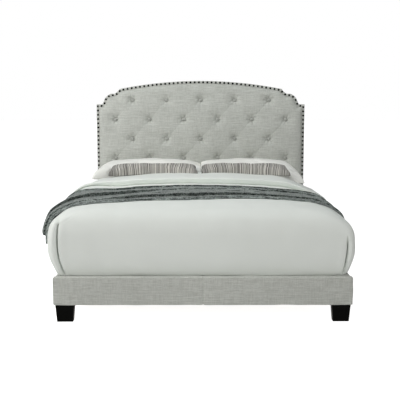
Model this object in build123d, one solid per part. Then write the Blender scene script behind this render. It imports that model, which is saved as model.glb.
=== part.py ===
"""An upholstered bed, made up: tufted headboard, low padded footboard and rails, bedding.

Millimetres. +Z is up, +X is the sleeper's left seen from the foot end, the foot end faces -Y.
The origin is on the floor, under the middle of the bed's length and width.
"""
import os
from math import atan2, cos, hypot, sin

from build123d import *

os.makedirs("parts", exist_ok=True)

# Mattress and foundation: the sizes that the frame is built around
mattress_width = 1524.0
mattress_length = 2032.0
mattress_height = 240.0
mattress_corner = 70.0
mattress_edge = 50.0
foundation_height = 203.0
foundation_corner = 55.0
foundation_cover_wall = 5.0
foundation_board = 20.0
foundation_board_height = 140.0
foundation_slat_width = 70.0
foundation_slat_thickness = 16.0
foundation_slat_count = 10
foundation_pad_inset = 14.0

# Room round the mattress, and fits between pieces
side_play = 13.0
foot_play = 22.0
head_play = 5.0
rest_gap = 0.3
drape_play = 1.5
pillow_play = 12.0
stud_play = 0.08
overrun = 10.0

# Feet and footboard
foot_height = 94.0
foot_top_width = 104.0
foot_bottom_width = 88.0
foot_top_depth = 56.0
foot_bottom_depth = 46.0
foot_inset = 9.0
foot_bolt_radius = 4.0
foot_bolt_bite = 34.0
foot_edge = 5.0
footboard_thickness = 60.0
rail_height = 154.0
rail_thickness = 50.0
edge_round = 13.0
cover_wall = 11.0
seam_width = 2.4
seam_depth = 1.8

# Slats, their ledges and the centre beam
ledge_rise = 6.0
ledge_size = 30.0
slat_count = 13
slat_width = 88.0
slat_thickness = 18.0
slat_end_play = 2.0
slat_first_inset = 70.0
screw_shank_radius = 2.2
screw_head_radius = 4.5
screw_head_height = 3.2
screw_bite = 20.0
beam_width = 50.0
beam_height = 44.0
leg_size = 45.0
leg_step_length = 620.0
leg_count = 3
glide_radius = 19.0
glide_thickness = 8.0
stud_radius = 4.0
stud_grip = 22.0
glide_travel = 12.0

# Steel corner plates, beam brackets and their bolts
plate_thickness = 3.0
plate_reach = 62.0
plate_height = 84.0
plate_lift = 8.0
bolt_shank_radius = 3.5
bolt_head_radius = 6.5
bolt_head_height = 4.5
bolt_bite_rail = 34.0
bolt_bite_foot = 40.0
bolt_bite_head = 64.0
bolt_edge = 16.0
bracket_width = 96.0
bracket_height = 84.0
bracket_tongue = 46.0

# Headboard: outline first, then what is behind it
headboard_overhang = 2.0
shoulder_height = 1163.0
crest_arch = 63.0
ear_width = 42.0
cove_width = 12.0
cove_height = 15.0
scroll_width = 60.0
scroll_height = 69.0
scroll_bulge = 17.0
step_width = 28.0
rise_width = 42.0
rise_height = 38.0
rise_bulge = 11.0
headboard_depth = 80.0
border_width = 22.0
border_thickness = 18.0
rim_wall = 6.0
panel_thickness = 12.0
back_cover_thickness = 3.0
post_width = 96.0
post_inset = 24.0
base_rail_height = 120.0
middle_rail_height = 90.0
middle_rail_lift = 420.0
crest_board_height = 339.0
rear_foot_width = 90.0
rear_foot_depth = 48.0

# Headboard pad, its tufts, buttons and nails
pad_proud = 32.0
pad_fall_width = 54.0
pad_fall_depth = 24.0
pad_bottom_height = 470.0
tuft_column_width = 270.0
tuft_row_height = 153.0
tuft_top_drop = 151.0
tuft_rows = 4
tufts_in_top_row = 5
tuft_depth = 19.0
tuft_flare = 62.0
tuft_ease_share = 0.62
button_radius = 14.0
button_height = 8.0
button_rim = 2.0
button_play = 2.0
nail_inset = 11.5
nail_radius = 8.0
nail_height = 5.0
nail_step_length = 33.5
nail_lowest = 262.0

# Duvet: half widths and front reach at each height, as shares of its own named sizes
duvet_side_bulge = 100.0
duvet_front_bulge = 42.0
duvet_crown = 62.0
duvet_hem_gap = 0.3
duvet_end_share = 0.725
duvet_corner = 46.0
pleat_width = 9.0
pleat_depth = 26.0
pleat_inset = 44.0
duvet_height_shares = (0.0, 0.10, 0.22, 0.34, 0.47, 0.60, 0.71, 0.80, 0.87, 0.92, 0.955, 0.98, 1.0)
duvet_side_shares = (0.40, 0.60, 0.80, 0.90, 0.90, 0.86, 0.70, 0.30, -0.24, -1.12, -2.52, -4.12, -6.32)
duvet_front_shares = (0.50, 0.74, 0.92, 1.0, 1.0, 0.94, 0.72, 0.32, -0.40, -1.50, -3.4, -6.4, -11.5)
duvet_lean = 16.0
duvet_lean_shares = (0.35, 0.35, 0.35, 0.35, 0.40, 0.50, 0.70, 0.90, 1.0, 1.0, 1.0, 1.0, 1.0)

# Turned-back end of the duvet
cavity_edge_share = 0.75
cavity_corner_share = 0.65
turnback_length = 525.0
turnback_thickness = 36.0
turnback_hem_drop = 190.0

# Throw across the foot end
throw_width = 580.0
throw_from_front = 188.0
throw_thickness = 7.0
throw_fold_height = 11.0
throw_fold_count = 7
throw_gap = 0.5
throw_left_flare = 78.0
throw_right_flare = 16.0
throw_left_drop = 265.0
throw_right_drop = 250.0

# Pillows
pillow_width = 760.0
pillow_depth = 500.0
pillow_crown = 142.0
pillow_under = 22.0
pillow_pull = 26.0
pillow_shift = 20.0
pillow_flat = 0.5
accent_width = 640.0
accent_depth = 262.0
accent_crown = 44.0
accent_under = 18.0
accent_pull = 17.0
accent_lift = 2.2
accent_tilt = 5.0
accent_droop = 2.8
accent_shift = 12.0
accent_overlap = 69.5
pillow_height_shares = (0.0, 0.13, 0.30, 0.48, 0.65, 0.80, 0.91, 0.975, 1.0)
pillow_size_shares = (1.0, 0.95, 0.86, 0.75, 0.63, 0.50, 0.37, 0.23, 0.10)

# Places worked out from the sizes
overall_length = (footboard_thickness + foot_play + mattress_length + head_play
                  + pad_proud + headboard_depth)
frame_half = mattress_width / 2 + side_play + rail_thickness
rail_inner = frame_half - rail_thickness
headboard_width = 2 * (frame_half + headboard_overhang)
crest_height = shoulder_height + cove_height + scroll_height + rise_height + crest_arch
tuft_top_row_height = crest_height - tuft_top_drop
foot_front = -overall_length / 2
foot_back = foot_front + footboard_thickness
mattress_foot = foot_back + foot_play
mattress_head = mattress_foot + mattress_length
pad_front = mattress_head + head_play
border_front = pad_front + pad_proud
headboard_back = border_front + headboard_depth
rail_top = foot_height + rail_height
ledge_top = foot_height + ledge_rise + ledge_size
slat_top = ledge_top + slat_thickness
foundation_top = slat_top + foundation_height
mattress_top = foundation_top + mattress_height
beam_bottom = ledge_top - beam_height
stud_length = stud_grip + glide_travel


def box(x0, x1, y0, y1, z0, z1):
    """A block between two opposite corners."""
    size = (x1 - x0, y1 - y0, z1 - z0)
    return Pos((x0 + x1) / 2, (y0 + y1) / 2, (z0 + z1) / 2) * Box(*size)


def rounded_block(x0, x1, y0, y1, z0, z1, radius):
    """A block whose four upright corners are round."""
    flat = Pos((x0 + x1) / 2, (y0 + y1) / 2, z0) * RectangleRounded(x1 - x0, y1 - y0, radius)
    return extrude(flat, amount=z1 - z0)


def upright_plane(y):
    """The plane across the bed at y, seen from the foot end."""
    return Plane(origin=(0, y, 0), x_dir=(1, 0, 0), z_dir=(0, -1, 0))


def slab(face, y_back, thickness):
    """An upright sheet with this outline, whose back lies at y_back."""
    return extrude(upright_plane(y_back) * face, amount=thickness)


def save(name, solids):
    """Write one node, of one solid or of several separate ones."""
    group = solids if isinstance(solids, list) else [solids]
    flat = [solid for shape in group for solid in shape.solids()]
    export_step(Compound(children=flat) if len(flat) > 1 else flat[0], f"parts/{name}.step")


def turned(head_radius, head_height, shank_radius, bite):
    """A screw or bolt standing head up, with the underside of its head at zero."""
    head = Pos(0, 0, head_height / 2) * Cylinder(head_radius, head_height)
    shank = Pos(0, 0, -bite / 2) * Cylinder(shank_radius, bite)
    return (head + shank).solid()


def headboard_outline(inset):
    """The headboard's shape, drawn in by inset all round, as a flat face."""
    half = headboard_width / 2
    cove_top = shoulder_height + cove_height
    scroll_top = cove_top + scroll_height
    rise_top = scroll_top + rise_height
    cove_x = half - ear_width - cove_width
    scroll_x = cove_x - scroll_width
    step_x = scroll_x - step_width
    rise_x = step_x - rise_width
    scroll_middle = ((cove_x + scroll_x + scroll_bulge) / 2,
                     (cove_top + scroll_top + scroll_bulge) / 2)
    rise_middle = ((step_x + rise_x) / 2, (scroll_top + rise_top - rise_bulge) / 2)
    right = [
        Line((half, foot_height), (half, shoulder_height)),
        Line((half, shoulder_height), (half - ear_width, shoulder_height)),
        Line((half - ear_width, shoulder_height), (cove_x, cove_top)),
        ThreePointArc((cove_x, cove_top), scroll_middle, (scroll_x, scroll_top)),
        Line((scroll_x, scroll_top), (step_x, scroll_top)),
        ThreePointArc((step_x, scroll_top), rise_middle, (rise_x, rise_top)),
    ]
    left = [mirror(edge, Plane.YZ) for edge in right]
    crest = ThreePointArc((rise_x, rise_top), (0, crest_height), (-rise_x, rise_top))
    base = Line((-half, foot_height), (half, foot_height))
    face = make_face(Curve() + right + [crest] + left + [base])
    if inset == 0:
        return face
    return offset(face, amount=-inset, kind=Kind.INTERSECTION)


def above(face, height):
    """The part of an upright outline that lies above a height."""
    reach = headboard_width + overrun
    window = Pos(0, height + crest_height) * Rectangle(reach, 2 * crest_height)
    return face & window


def foot_bolt(x, y):
    """A headless bolt half in the foot and half in the timber above it."""
    return Pos(x, y, foot_height) * Cylinder(foot_bolt_radius, 2 * foot_bolt_bite)


def make_headboard(bolts):
    """Border, panel, timbers, back cover, rear feet, tufted pad, buttons and nails."""
    outline = headboard_outline(0)
    pad_face = above(headboard_outline(border_width), pad_bottom_height)
    border_back = border_front + border_thickness
    panel_back = border_back + panel_thickness
    timber_back = headboard_back - back_cover_thickness
    timber_depth = timber_back - panel_back
    inner = headboard_outline(rim_wall)

    border = slab(outline - pad_face, border_back, border_thickness)
    rim = slab(outline - inner, timber_back, timber_back - border_back)
    save("headboard_border_cover", drilled((border + rim).solid(), bolts))
    save("headboard_panel", drilled(slab(inner, panel_back, panel_thickness), bolts))
    save("headboard_back_cover", slab(outline, headboard_back, back_cover_thickness))

    base = foot_height + rim_wall
    post_outer = headboard_width / 2 - post_inset
    post_inner = post_outer - post_width
    post_top = shoulder_height - post_inset
    timbers = []
    for side in (-1, 1):
        ends = sorted((side * post_inner, side * post_outer))
        timbers.append(box(*ends, panel_back, timber_back, base, post_top))
    for low, tall in ((base, base_rail_height), (base + middle_rail_lift, middle_rail_height)):
        timbers.append(box(-post_inner, post_inner, panel_back, timber_back, low, low + tall))
    crest_low = crest_height - crest_board_height
    crest_half = post_inner
    crest = above(inner, crest_low) & Pos(0, crest_height) * Rectangle(2 * crest_half, 2 * crest_height)
    save("headboard_timbers", [drilled(timber, bolts) for timber in timbers])
    save("headboard_crest_board", slab(crest, timber_back, timber_depth))

    for side, name in ((-1, "left"), (1, "right")):
        foot, _ = rear_foot(side)
        save(f"rear_foot_{name}", drilled(foot, bolts))

    make_headboard_pad(pad_face, border_back)
    make_nails()


def tuft_places():
    """Where the buttons sit, row by row: one fewer in every other row."""
    places = []
    for row in range(tuft_rows):
        count = tufts_in_top_row + row % 2
        height = tuft_top_row_height - row * tuft_row_height
        first = -(count - 1) * tuft_column_width / 2
        places += [(first + column * tuft_column_width, height) for column in range(count)]
    return places


def dome_arc(radius, base, top):
    """The curve from a dome's rim in to its peak on the axis, part of a circle about the axis."""
    rise = top - base
    round_radius = (radius ** 2 + rise ** 2) / (2 * rise)
    half_turn = atan2(radius, round_radius - rise) / 2
    middle = (round_radius * sin(half_turn), top - round_radius + round_radius * cos(half_turn))
    return ThreePointArc((radius, base), middle, (0, top))


def tuft_tool():
    """The hollow that one button pulls into the pad, mouth towards the foot end."""
    floor = button_radius + button_play
    ease = ((floor + tuft_flare) / 2 - tuft_depth / 2, tuft_depth * tuft_ease_share)
    outline = [
        Line((0, 0), (floor, 0)),
        ThreePointArc((floor, 0), ease, (tuft_flare, tuft_depth)),
        Line((tuft_flare, tuft_depth), (tuft_flare, tuft_depth + overrun)),
        Line((tuft_flare, tuft_depth + overrun), (0, tuft_depth + overrun)),
        Line((0, tuft_depth + overrun), (0, 0)),
    ]
    return revolve(Plane.XZ * make_face(Curve() + outline), Axis.Z)


def rear_foot(side):
    """A straight block under one headboard post, and the bolt that holds it."""
    timber_back = headboard_back - back_cover_thickness
    panel_back = border_front + border_thickness + panel_thickness
    x = side * (headboard_width / 2 - post_inset - post_width / 2)
    y = (panel_back + timber_back) / 2
    foot = box(x - rear_foot_width / 2, x + rear_foot_width / 2,
               y - rear_foot_depth / 2, y + rear_foot_depth / 2, 0, foot_height)
    return chamfer(foot.edges().filter_by(Axis.Z), foot_edge), foot_bolt(x, y)


def make_headboard_pad(pad_face, pad_back):
    """The thick pad that falls away at its rim, and the buttons in its tufts."""
    depth = pad_back - pad_front
    pad = slab(pad_face, pad_back, depth)
    front_edges = pad.faces().sort_by(Axis.Y)[0].edges()
    pad = chamfer(front_edges, pad_fall_depth, pad_fall_width)
    tool = tuft_tool()
    button = button_solid()
    buttons = []
    for x, z in tuft_places():
        seat = upright_plane(pad_front + tuft_depth) * Pos(x, z, 0)
        pad -= seat * tool
        buttons.append(seat * button)
    save("headboard_pad", pad.solid())
    save("tuft_buttons", buttons)


def button_solid():
    """One covered button, flat behind and domed in front."""
    outline = [
        Line((0, 0), (button_radius, 0)),
        Line((button_radius, 0), (button_radius, button_rim)),
        dome_arc(button_radius, button_rim, button_height),
        Line((0, button_height), (0, 0)),
    ]
    return revolve(Plane.XZ * make_face(Curve() + outline), Axis.Z)


def nail_solid():
    """One domed nail head."""
    outline = [
        Line((0, 0), (nail_radius, 0)),
        dome_arc(nail_radius, 0, nail_height),
        Line((0, nail_height), (0, 0)),
    ]
    return revolve(Plane.XZ * make_face(Curve() + outline), Axis.Z)


def make_nails():
    """A close row of nail heads up both sides and over the top, in three groups."""
    path = headboard_outline(nail_inset).face().outer_wire()
    steps = round(path.length / nail_step_length)
    edge_x = headboard_width / 2 - nail_inset
    side_limit = shoulder_height - 2 * nail_inset
    groups = {"left": [], "top": [], "right": []}
    nail = nail_solid()
    for step in range(steps):
        point = path.position_at(step / steps)
        if point.Y < nail_lowest:
            continue
        on_side = abs(point.X) > edge_x - nail_inset and point.Y < side_limit
        place = ("left" if point.X < 0 else "right") if on_side else "top"
        groups[place].append(upright_plane(border_front) * Pos(point.X, point.Y, 0) * nail)
    for name, nails in groups.items():
        save(f"nail_heads_{name}", nails)


def make_footboard():
    """Padded footboard round its timber, and the two front feet."""
    outer = box(-frame_half, frame_half, foot_front, foot_back, foot_height, rail_top)
    front = outer.faces().sort_by(Axis.Y)[0]
    ends = outer.edges().filter_by(Axis.Z).sort_by(Axis.Y)[:2]
    top = outer.faces().sort_by(Axis.Z)[-1].edges().filter_by(Axis.X)
    cover = fillet(front.edges() + ends + top, edge_round)
    core_box = (-frame_half + cover_wall, frame_half - cover_wall, foot_front + cover_wall,
                foot_back - cover_wall, foot_height + cover_wall, rail_top - cover_wall)
    core = box(*core_box)
    half_seam = seam_width / 2
    seam_front = box(-half_seam, half_seam, foot_front - overrun, foot_front + seam_depth,
                     foot_height - overrun, rail_top + overrun)
    seam_top = box(-half_seam, half_seam, foot_front - overrun, foot_back + overrun,
                   rail_top - seam_depth, rail_top + overrun)
    cover = cover - core - seam_front - seam_top
    return cover, core


def front_foot(side):
    """A tapered block, set a little in from the footboard's end and front, and its bolt."""
    x = side * (frame_half - foot_inset - foot_top_width / 2)
    y = foot_front + footboard_thickness / 2
    top = Pos(x, y, foot_height) * Rectangle(foot_top_width, foot_top_depth)
    bottom = Pos(x, y, 0) * Rectangle(foot_bottom_width, foot_bottom_depth)
    return loft([bottom, top]), foot_bolt(x, y)


def make_rail(side):
    """One side rail: padded cover, timber and the ledge that carries the slats."""
    x0, x1 = sorted((side * rail_inner, side * frame_half))
    outer = box(x0, x1, foot_back, border_front, foot_height, rail_top)
    long_edges = outer.edges().filter_by(Axis.Y)
    outside = long_edges.filter_by_position(Axis.X, side * frame_half - seam_width,
                                            side * frame_half + seam_width)
    cover = fillet(outside, edge_round)
    core_x = sorted((side * (rail_inner + cover_wall / 2), side * (frame_half - cover_wall)))
    core = box(*core_x, foot_back, border_front, foot_height + cover_wall, rail_top - cover_wall)
    ledge_x = sorted((side * (rail_inner - ledge_size), side * rail_inner))
    ledge_low = ledge_top - ledge_size
    ledge = box(*ledge_x, foot_back + ledge_size, border_front - ledge_size, ledge_low, ledge_top)
    return cover - core, core, ledge


def slat_places():
    """The middle of each slat along the bed."""
    first = foot_back + slat_first_inset
    last = border_front - slat_first_inset
    return [first + (last - first) * step / (slat_count - 1) for step in range(slat_count)]


def make_slats(ledges):
    """Slats across the bed, screwed to the ledges on both sides."""
    reach = rail_inner - slat_end_play
    screw = turned(screw_head_radius, screw_head_height, screw_shank_radius, screw_bite)
    slats, screws = [], []
    for y in slat_places():
        slat = box(-reach, reach, y - slat_width / 2, y + slat_width / 2, ledge_top, slat_top)
        for side in (-1, 1):
            x = side * (rail_inner - ledge_size / 2)
            placed = Pos(x, y, slat_top - screw_head_height) * screw
            screws.append(placed)
            slat -= placed
            ledges[side] -= placed
        slats.append(slat)
    save("slats", slats)
    save("slat_screws", screws)
    for side, name in ((-1, "left"), (1, "right")):
        save(f"ledge_{name}", ledges[side])


def corner_plate(side, end):
    """An angle plate in a corner of the frame: end is -1 at the foot and 1 at the head."""
    y_wall = foot_back if end < 0 else border_front
    low = slat_top + plate_lift
    high = low + plate_height
    along_x = sorted((side * (rail_inner - plate_thickness), side * rail_inner))
    along_y = sorted((y_wall, y_wall - end * plate_reach))
    across_x = sorted((side * (rail_inner - plate_reach), side * rail_inner))
    across_y = sorted((y_wall, y_wall - end * plate_thickness))
    plate = box(*along_x, *along_y, low, high) + box(*across_x, *across_y, low, high)
    bolts = []
    for z in (low + bolt_edge, high - bolt_edge):
        rail_point = (side * (rail_inner - plate_thickness), y_wall - end * (plate_reach - bolt_edge), z)
        wall_point = (side * (rail_inner - plate_reach + bolt_edge), y_wall - end * plate_thickness, z)
        rail_place = Plane(origin=rail_point, z_dir=(-side, 0, 0))
        wall_place = Plane(origin=wall_point, z_dir=(0, -end, 0))
        bite = bolt_bite_foot if end < 0 else bolt_bite_head
        bolts.append(rail_place * bolt(bolt_bite_rail))
        bolts.append(wall_place * bolt(bite))
    return plate, bolts


def bolt(bite):
    return turned(bolt_head_radius, bolt_head_height, bolt_shank_radius, bite)


def beam_bracket(end):
    """The steel seat under one end of the centre beam, with its two bolts."""
    y_wall = foot_back if end < 0 else border_front
    low = beam_bottom - plate_thickness
    across = (-bracket_width / 2, bracket_width / 2)
    wall_y = sorted((y_wall, y_wall - end * plate_thickness))
    tongue_y = sorted((y_wall, y_wall - end * bracket_tongue))
    wall = box(*across, *wall_y, low, low + bracket_height)
    tongue = box(-beam_width / 2, beam_width / 2, *tongue_y, low, beam_bottom)
    bite = bolt_bite_foot if end < 0 else bolt_bite_head
    bolts = []
    for side in (-1, 1):
        x = side * (bracket_width / 2 - (bracket_width - beam_width) / 4)
        z = (foot_height + cover_wall + low + bracket_height) / 2
        place = Plane(origin=(x, y_wall - end * plate_thickness, z), z_dir=(0, -end, 0))
        bolts.append(place * bolt(bite))
    return wall + tongue, bolts


def make_frame():
    """Footboard, rails, slats, beam, corner plates and all their fasteners."""
    foot_cover, foot_core = make_footboard()
    rails = {side: make_rail(side) for side in (-1, 1)}
    make_slats({side: rails[side][2] for side in (-1, 1)})
    plates, plate_bolts, brackets, bracket_bolts = [], [], [], []
    for end in (-1, 1):
        for side in (-1, 1):
            plate, bolts = corner_plate(side, end)
            for one in bolts:
                plate -= one
            plates.append(plate)
            plate_bolts += bolts
        bracket, bolts = beam_bracket(end)
        for one in bolts:
            bracket -= one
        brackets.append(bracket)
        bracket_bolts += bolts
    foot_bolts = []
    for side, name in ((-1, "left"), (1, "right")):
        foot, one = front_foot(side)
        save(f"front_foot_{name}", foot - one)
        foot_bolts += [one, rear_foot(side)[1]]
    save("foot_bolts", foot_bolts)
    cutters = plate_bolts + bracket_bolts + foot_bolts
    save("corner_plates", plates)
    save("corner_bolts", plate_bolts)
    save("beam_brackets", brackets)
    save("beam_bracket_bolts", bracket_bolts)
    save("footboard_cover", drilled(foot_cover, cutters))
    save("footboard_timber", drilled(foot_core, cutters))
    for side, name in ((-1, "left"), (1, "right")):
        cover, core, ledge = rails[side]
        save(f"side_rail_cover_{name}", drilled(cover, cutters))
        save(f"side_rail_timber_{name}", drilled(core, cutters))
    make_beam()
    return cutters


def drilled(piece, cutters):
    """The piece with a hole for each fastener that goes into it."""
    limits = piece.bounding_box()
    for one in cutters:
        near = one.bounding_box()
        apart = (near.min.X > limits.max.X or near.max.X < limits.min.X
                 or near.min.Y > limits.max.Y or near.max.Y < limits.min.Y
                 or near.min.Z > limits.max.Z or near.max.Z < limits.min.Z)
        if not apart:
            piece -= one
    return piece


def leg_places():
    """The middle of each support leg along the bed."""
    return [(step - (leg_count - 1) / 2) * leg_step_length for step in range(leg_count)]


def make_beam():
    """Centre beam, its support legs and the screw-in glides under them."""
    half = beam_width / 2
    y0, y1 = foot_back + plate_thickness, border_front - plate_thickness
    save("centre_beam", box(-half, half, y0, y1, beam_bottom, ledge_top))
    names = ("front", "middle", "rear")
    legs = []
    bore_depth = stud_length + stud_radius
    for y, name in zip(leg_places(), names):
        leg = box(-leg_size / 2, leg_size / 2, y - leg_size / 2, y + leg_size / 2,
                  glide_thickness, beam_bottom)
        bore = Cylinder(stud_radius + stud_play, bore_depth)
        leg -= Pos(0, y, glide_thickness + bore_depth / 2) * bore
        legs.append(leg)
        disc = Pos(0, y, glide_thickness / 2) * Cylinder(glide_radius, glide_thickness)
        stud = Pos(0, y, glide_thickness + stud_length / 2) * Cylinder(stud_radius, stud_length)
        save(f"glide_{name}", (disc + stud).solid())
    save("support_legs", legs)


def make_foundation():
    """Box foundation: boards, slats, a top pad and the cloth cover round them."""
    half = mattress_width / 2
    wall = foundation_cover_wall
    outer = rounded_block(-half, half, mattress_foot, mattress_head, slat_top, foundation_top,
                          foundation_corner)
    inner = rounded_block(-half + wall, half - wall, mattress_foot + wall, mattress_head - wall,
                          slat_top + wall, foundation_top - wall, foundation_corner - wall)
    save("foundation_cover", outer - inner)
    low = slat_top + wall
    top = low + foundation_board_height
    x_in = half - foundation_corner
    y0, y1 = mattress_foot + wall, mattress_head - wall
    boards = []
    for side in (-1, 1):
        ends = sorted((side * (x_in - foundation_board), side * x_in))
        boards.append(box(*ends, y0, y1, low, top))
    inside = x_in - foundation_board
    for y in (y0, y1 - foundation_board):
        boards.append(box(-inside, inside, y, y + foundation_board, low, top))
    save("foundation_boards", boards)
    slats = []
    pitch = (y1 - y0 - foundation_slat_width) / (foundation_slat_count - 1)
    for step in range(foundation_slat_count):
        y = y0 + step * pitch
        slats.append(box(-x_in, x_in, y, y + foundation_slat_width, top,
                         top + foundation_slat_thickness))
    save("foundation_slats", slats)
    inset = foundation_pad_inset
    pad = rounded_block(-half + inset, half - inset, mattress_foot + inset, mattress_head - inset,
                        top + foundation_slat_thickness, foundation_top - wall, foundation_corner - inset)
    save("foundation_pad", pad)


def make_mattress():
    """Mattress with soft edges and a sewn tape round its top and bottom borders."""
    half = mattress_width / 2
    body = rounded_block(-half, half, mattress_foot, mattress_head, foundation_top + rest_gap,
                         mattress_top, mattress_corner)
    flat_faces = body.faces().sort_by(Axis.Z)
    rims = flat_faces[0].edges() + flat_faces[-1].edges()
    save("mattress", fillet(rims, mattress_edge))


def duvet_rings():
    """Half width, front, height and lean of the duvet's outside, from hem to crown."""
    hem = rail_top + duvet_hem_gap
    crown = mattress_top + duvet_crown
    rings = []
    shares = zip(duvet_height_shares, duvet_side_shares, duvet_front_shares, duvet_lean_shares)
    for height_share, side_share, front_share, lean_share in shares:
        half = mattress_width / 2 + duvet_side_bulge * side_share
        front = mattress_foot - duvet_front_bulge * front_share
        rings.append((half, front, hem + (crown - hem) * height_share, duvet_lean * lean_share))
    return rings


def duvet_end():
    return mattress_foot + mattress_length * duvet_end_share


def make_duvet():
    """Duvet over the foot end of the mattress, with a pleat at each front corner."""
    end = duvet_end()
    beyond = mattress_head
    sections = []
    for half, front, height, lean in duvet_rings():
        flat = RectangleRounded(2 * half, beyond - front, duvet_corner)
        sections.append(Pos(-lean, (front + beyond) / 2, height) * flat)
    outside = loft(sections, ruled=True)
    half = mattress_width / 2 + drape_play
    low = rail_top - overrun
    cavity = rounded_block(-half, half, mattress_foot - drape_play, beyond + overrun, low,
                           mattress_top + rest_gap, mattress_corner * cavity_corner_share)
    cavity = fillet(cavity.faces().sort_by(Axis.Z)[-1].edges(), mattress_edge * cavity_edge_share)
    reach = mattress_width
    cut_off = box(-reach, reach, end, beyond + reach, low, mattress_top + reach)
    duvet = outside - cavity - cut_off
    for side in (-1, 1):
        duvet -= pleat(side)
    duvet += turned_back()
    save("duvet", duvet.solid())


def pleat(side):
    """The upright slit where the front corner's cloth folds under."""
    half = mattress_width / 2 + duvet_side_bulge * duvet_side_shares[0]
    x = side * (half - pleat_inset / 2) - duvet_lean * duvet_lean_shares[0]
    y = mattress_foot - duvet_front_bulge - overrun
    depth = duvet_front_bulge + overrun - drape_play - pleat_depth / 4
    slit = Pos(x, y + depth / 2, 0) * Rectangle(pleat_width, depth)
    tall = (mattress_top - rail_top) * duvet_height_shares[-3]
    return Pos(0, 0, rail_top - overrun) * extrude(slit, amount=tall)


def drape_stations(gap, left_drop, right_drop, left_flare, right_flare):
    """Points and outward directions across the duvet, from the left hem over the top to the right."""
    rings = duvet_rings()
    crown = rings[-1][2]
    side = [(half, height, lean) for half, front, height, lean in rings]
    stations = []
    for sign, drop, flare in ((-1, left_drop, left_flare), (1, right_drop, right_flare)):
        run = []
        for index, (half, height, lean) in enumerate(side):
            if height < crown - drop:
                continue
            before = side[max(index - 1, 0)]
            after = side[min(index + 1, len(side) - 1)]
            along = (after[0] - before[0] - sign * (after[2] - before[2]), after[1] - before[1])
            length = hypot(*along)
            normal = (along[1] / length, -along[0] / length)
            reach = gap + flare * ((crown - height) / drop) ** 2
            x, z = half + normal[0] * reach, height + normal[1] * reach
            run.append((sign * x - lean, z, sign * normal[0], normal[1]))
        stations.append(run)
    left, right = stations
    return left + [(-rings[-1][3], crown + gap, 0, 1)] + right[::-1]


def gathered_section(x, z, nx, nz, y0, y1, thickness, fold_height, folds):
    """A strip's cross section: flat underneath, with a round fold beside a round fold above."""
    plane = Plane(origin=(x, y0, z), x_dir=(0, 1, 0), z_dir=(nz, 0, -nx))
    width = y1 - y0
    pitch = width / folds
    edges = [Line((0, 0), (width, 0)), Line((width, 0), (width, thickness))]
    for fold in range(folds, 0, -1):
        start, end = fold * pitch, (fold - 1) * pitch
        edges.append(ThreePointArc((start, thickness), ((start + end) / 2, thickness + fold_height),
                                   (end, thickness)))
    edges.append(Line((0, thickness), (0, 0)))
    return plane * make_face(Curve() + edges)


def turned_back():
    """The end of the duvet folded over on itself, a thick soft edge across the bed."""
    end = duvet_end()
    start = end - turnback_length
    sections = []
    for x, z, nx, nz in drape_stations(-rest_gap, turnback_hem_drop, turnback_hem_drop, 0, 0):
        sections.append(gathered_section(x, z, nx, nz, start, end, turnback_thickness / 2,
                                         turnback_thickness / 2, 1))
    return loft(sections, ruled=True)


def make_throw():
    """Knitted throw laid across the foot end, gathered into lengthwise folds."""
    y0 = foot_front + throw_from_front + (mattress_foot - foot_front)
    sections = []
    for x, z, nx, nz in drape_stations(throw_gap, throw_left_drop, throw_right_drop,
                                       throw_left_flare, throw_right_flare):
        sections.append(gathered_section(x, z, nx, nz, y0, y0 + throw_width, throw_thickness,
                                         throw_fold_height, throw_fold_count))
    save("throw", loft(sections, ruled=True).solid())


def pillow_ring(width, depth, pull, share):
    """A four-cornered outline whose sides are drawn in between the corners."""
    x, y, inward = width * share / 2, depth * share / 2, pull * share
    corners = [(-x, -y), (x, -y), (x, y), (-x, y)]
    middles = [(0, -y + inward), (x - inward, 0), (0, y - inward), (-x + inward, 0)]
    edges = []
    for step in range(4):
        edges.append(ThreePointArc(corners[step], middles[step], corners[(step + 1) % 4]))
    return make_face(Curve() + edges)


def pillow_solid(width, depth, pull, crown, under):
    """A pillow: crowned above its seam, shallower below it, with drawn-in sides."""
    halves = []
    for tall in (crown, -under):
        rings = [Pos(0, 0, tall * height) * pillow_ring(width, depth, pull, size)
                 for height, size in zip(pillow_height_shares, pillow_size_shares)]
        halves.append(loft(rings, ruled=True))
    return (halves[0] + halves[1]).solid()


def make_pillows():
    """Two white pillows at the head and a smaller striped one leaning on each."""
    y = pad_front - pillow_play - pillow_depth / 2
    z = mattress_top + rest_gap + pillow_under - pillow_flat
    pillow = pillow_solid(pillow_width, pillow_depth, pillow_pull, pillow_crown, pillow_under)
    floor = box(-pillow_width, pillow_width, -pillow_depth, pillow_depth, -2 * pillow_under,
                -pillow_under + pillow_flat)
    pillow -= floor
    accent = pillow_solid(accent_width, accent_depth, accent_pull, accent_crown, accent_under)
    front = y - pillow_depth / 2
    for side, name in ((-1, "left"), (1, "right")):
        x = side * (pillow_width / 2 + pillow_play) - pillow_shift
        save(f"pillow_{name}", Pos(x, y, z) * pillow)
        place = Pos(side * (accent_width / 2 + pillow_play) - accent_shift,
                    front + accent_overlap - accent_depth / 2,
                    mattress_top + duvet_crown + turnback_thickness + accent_lift)
        save(f"accent_pillow_{name}", place * Rot(accent_tilt, side * accent_droop, 0) * accent)


make_headboard(make_frame())
make_foundation()
make_mattress()
make_duvet()
make_throw()
make_pillows()
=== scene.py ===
"""Looks of the made-up upholstered bed: cloth, bedding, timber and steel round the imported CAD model.

Metres. The frame is the CAD model's: +Z is up, the foot end faces -Y, the floor is at zero.
"""

from math import cos, pi, radians, sin

import bmesh
import bpy
import numpy as np
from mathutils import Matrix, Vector
from mathutils.bvhtree import BVHTree


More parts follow.
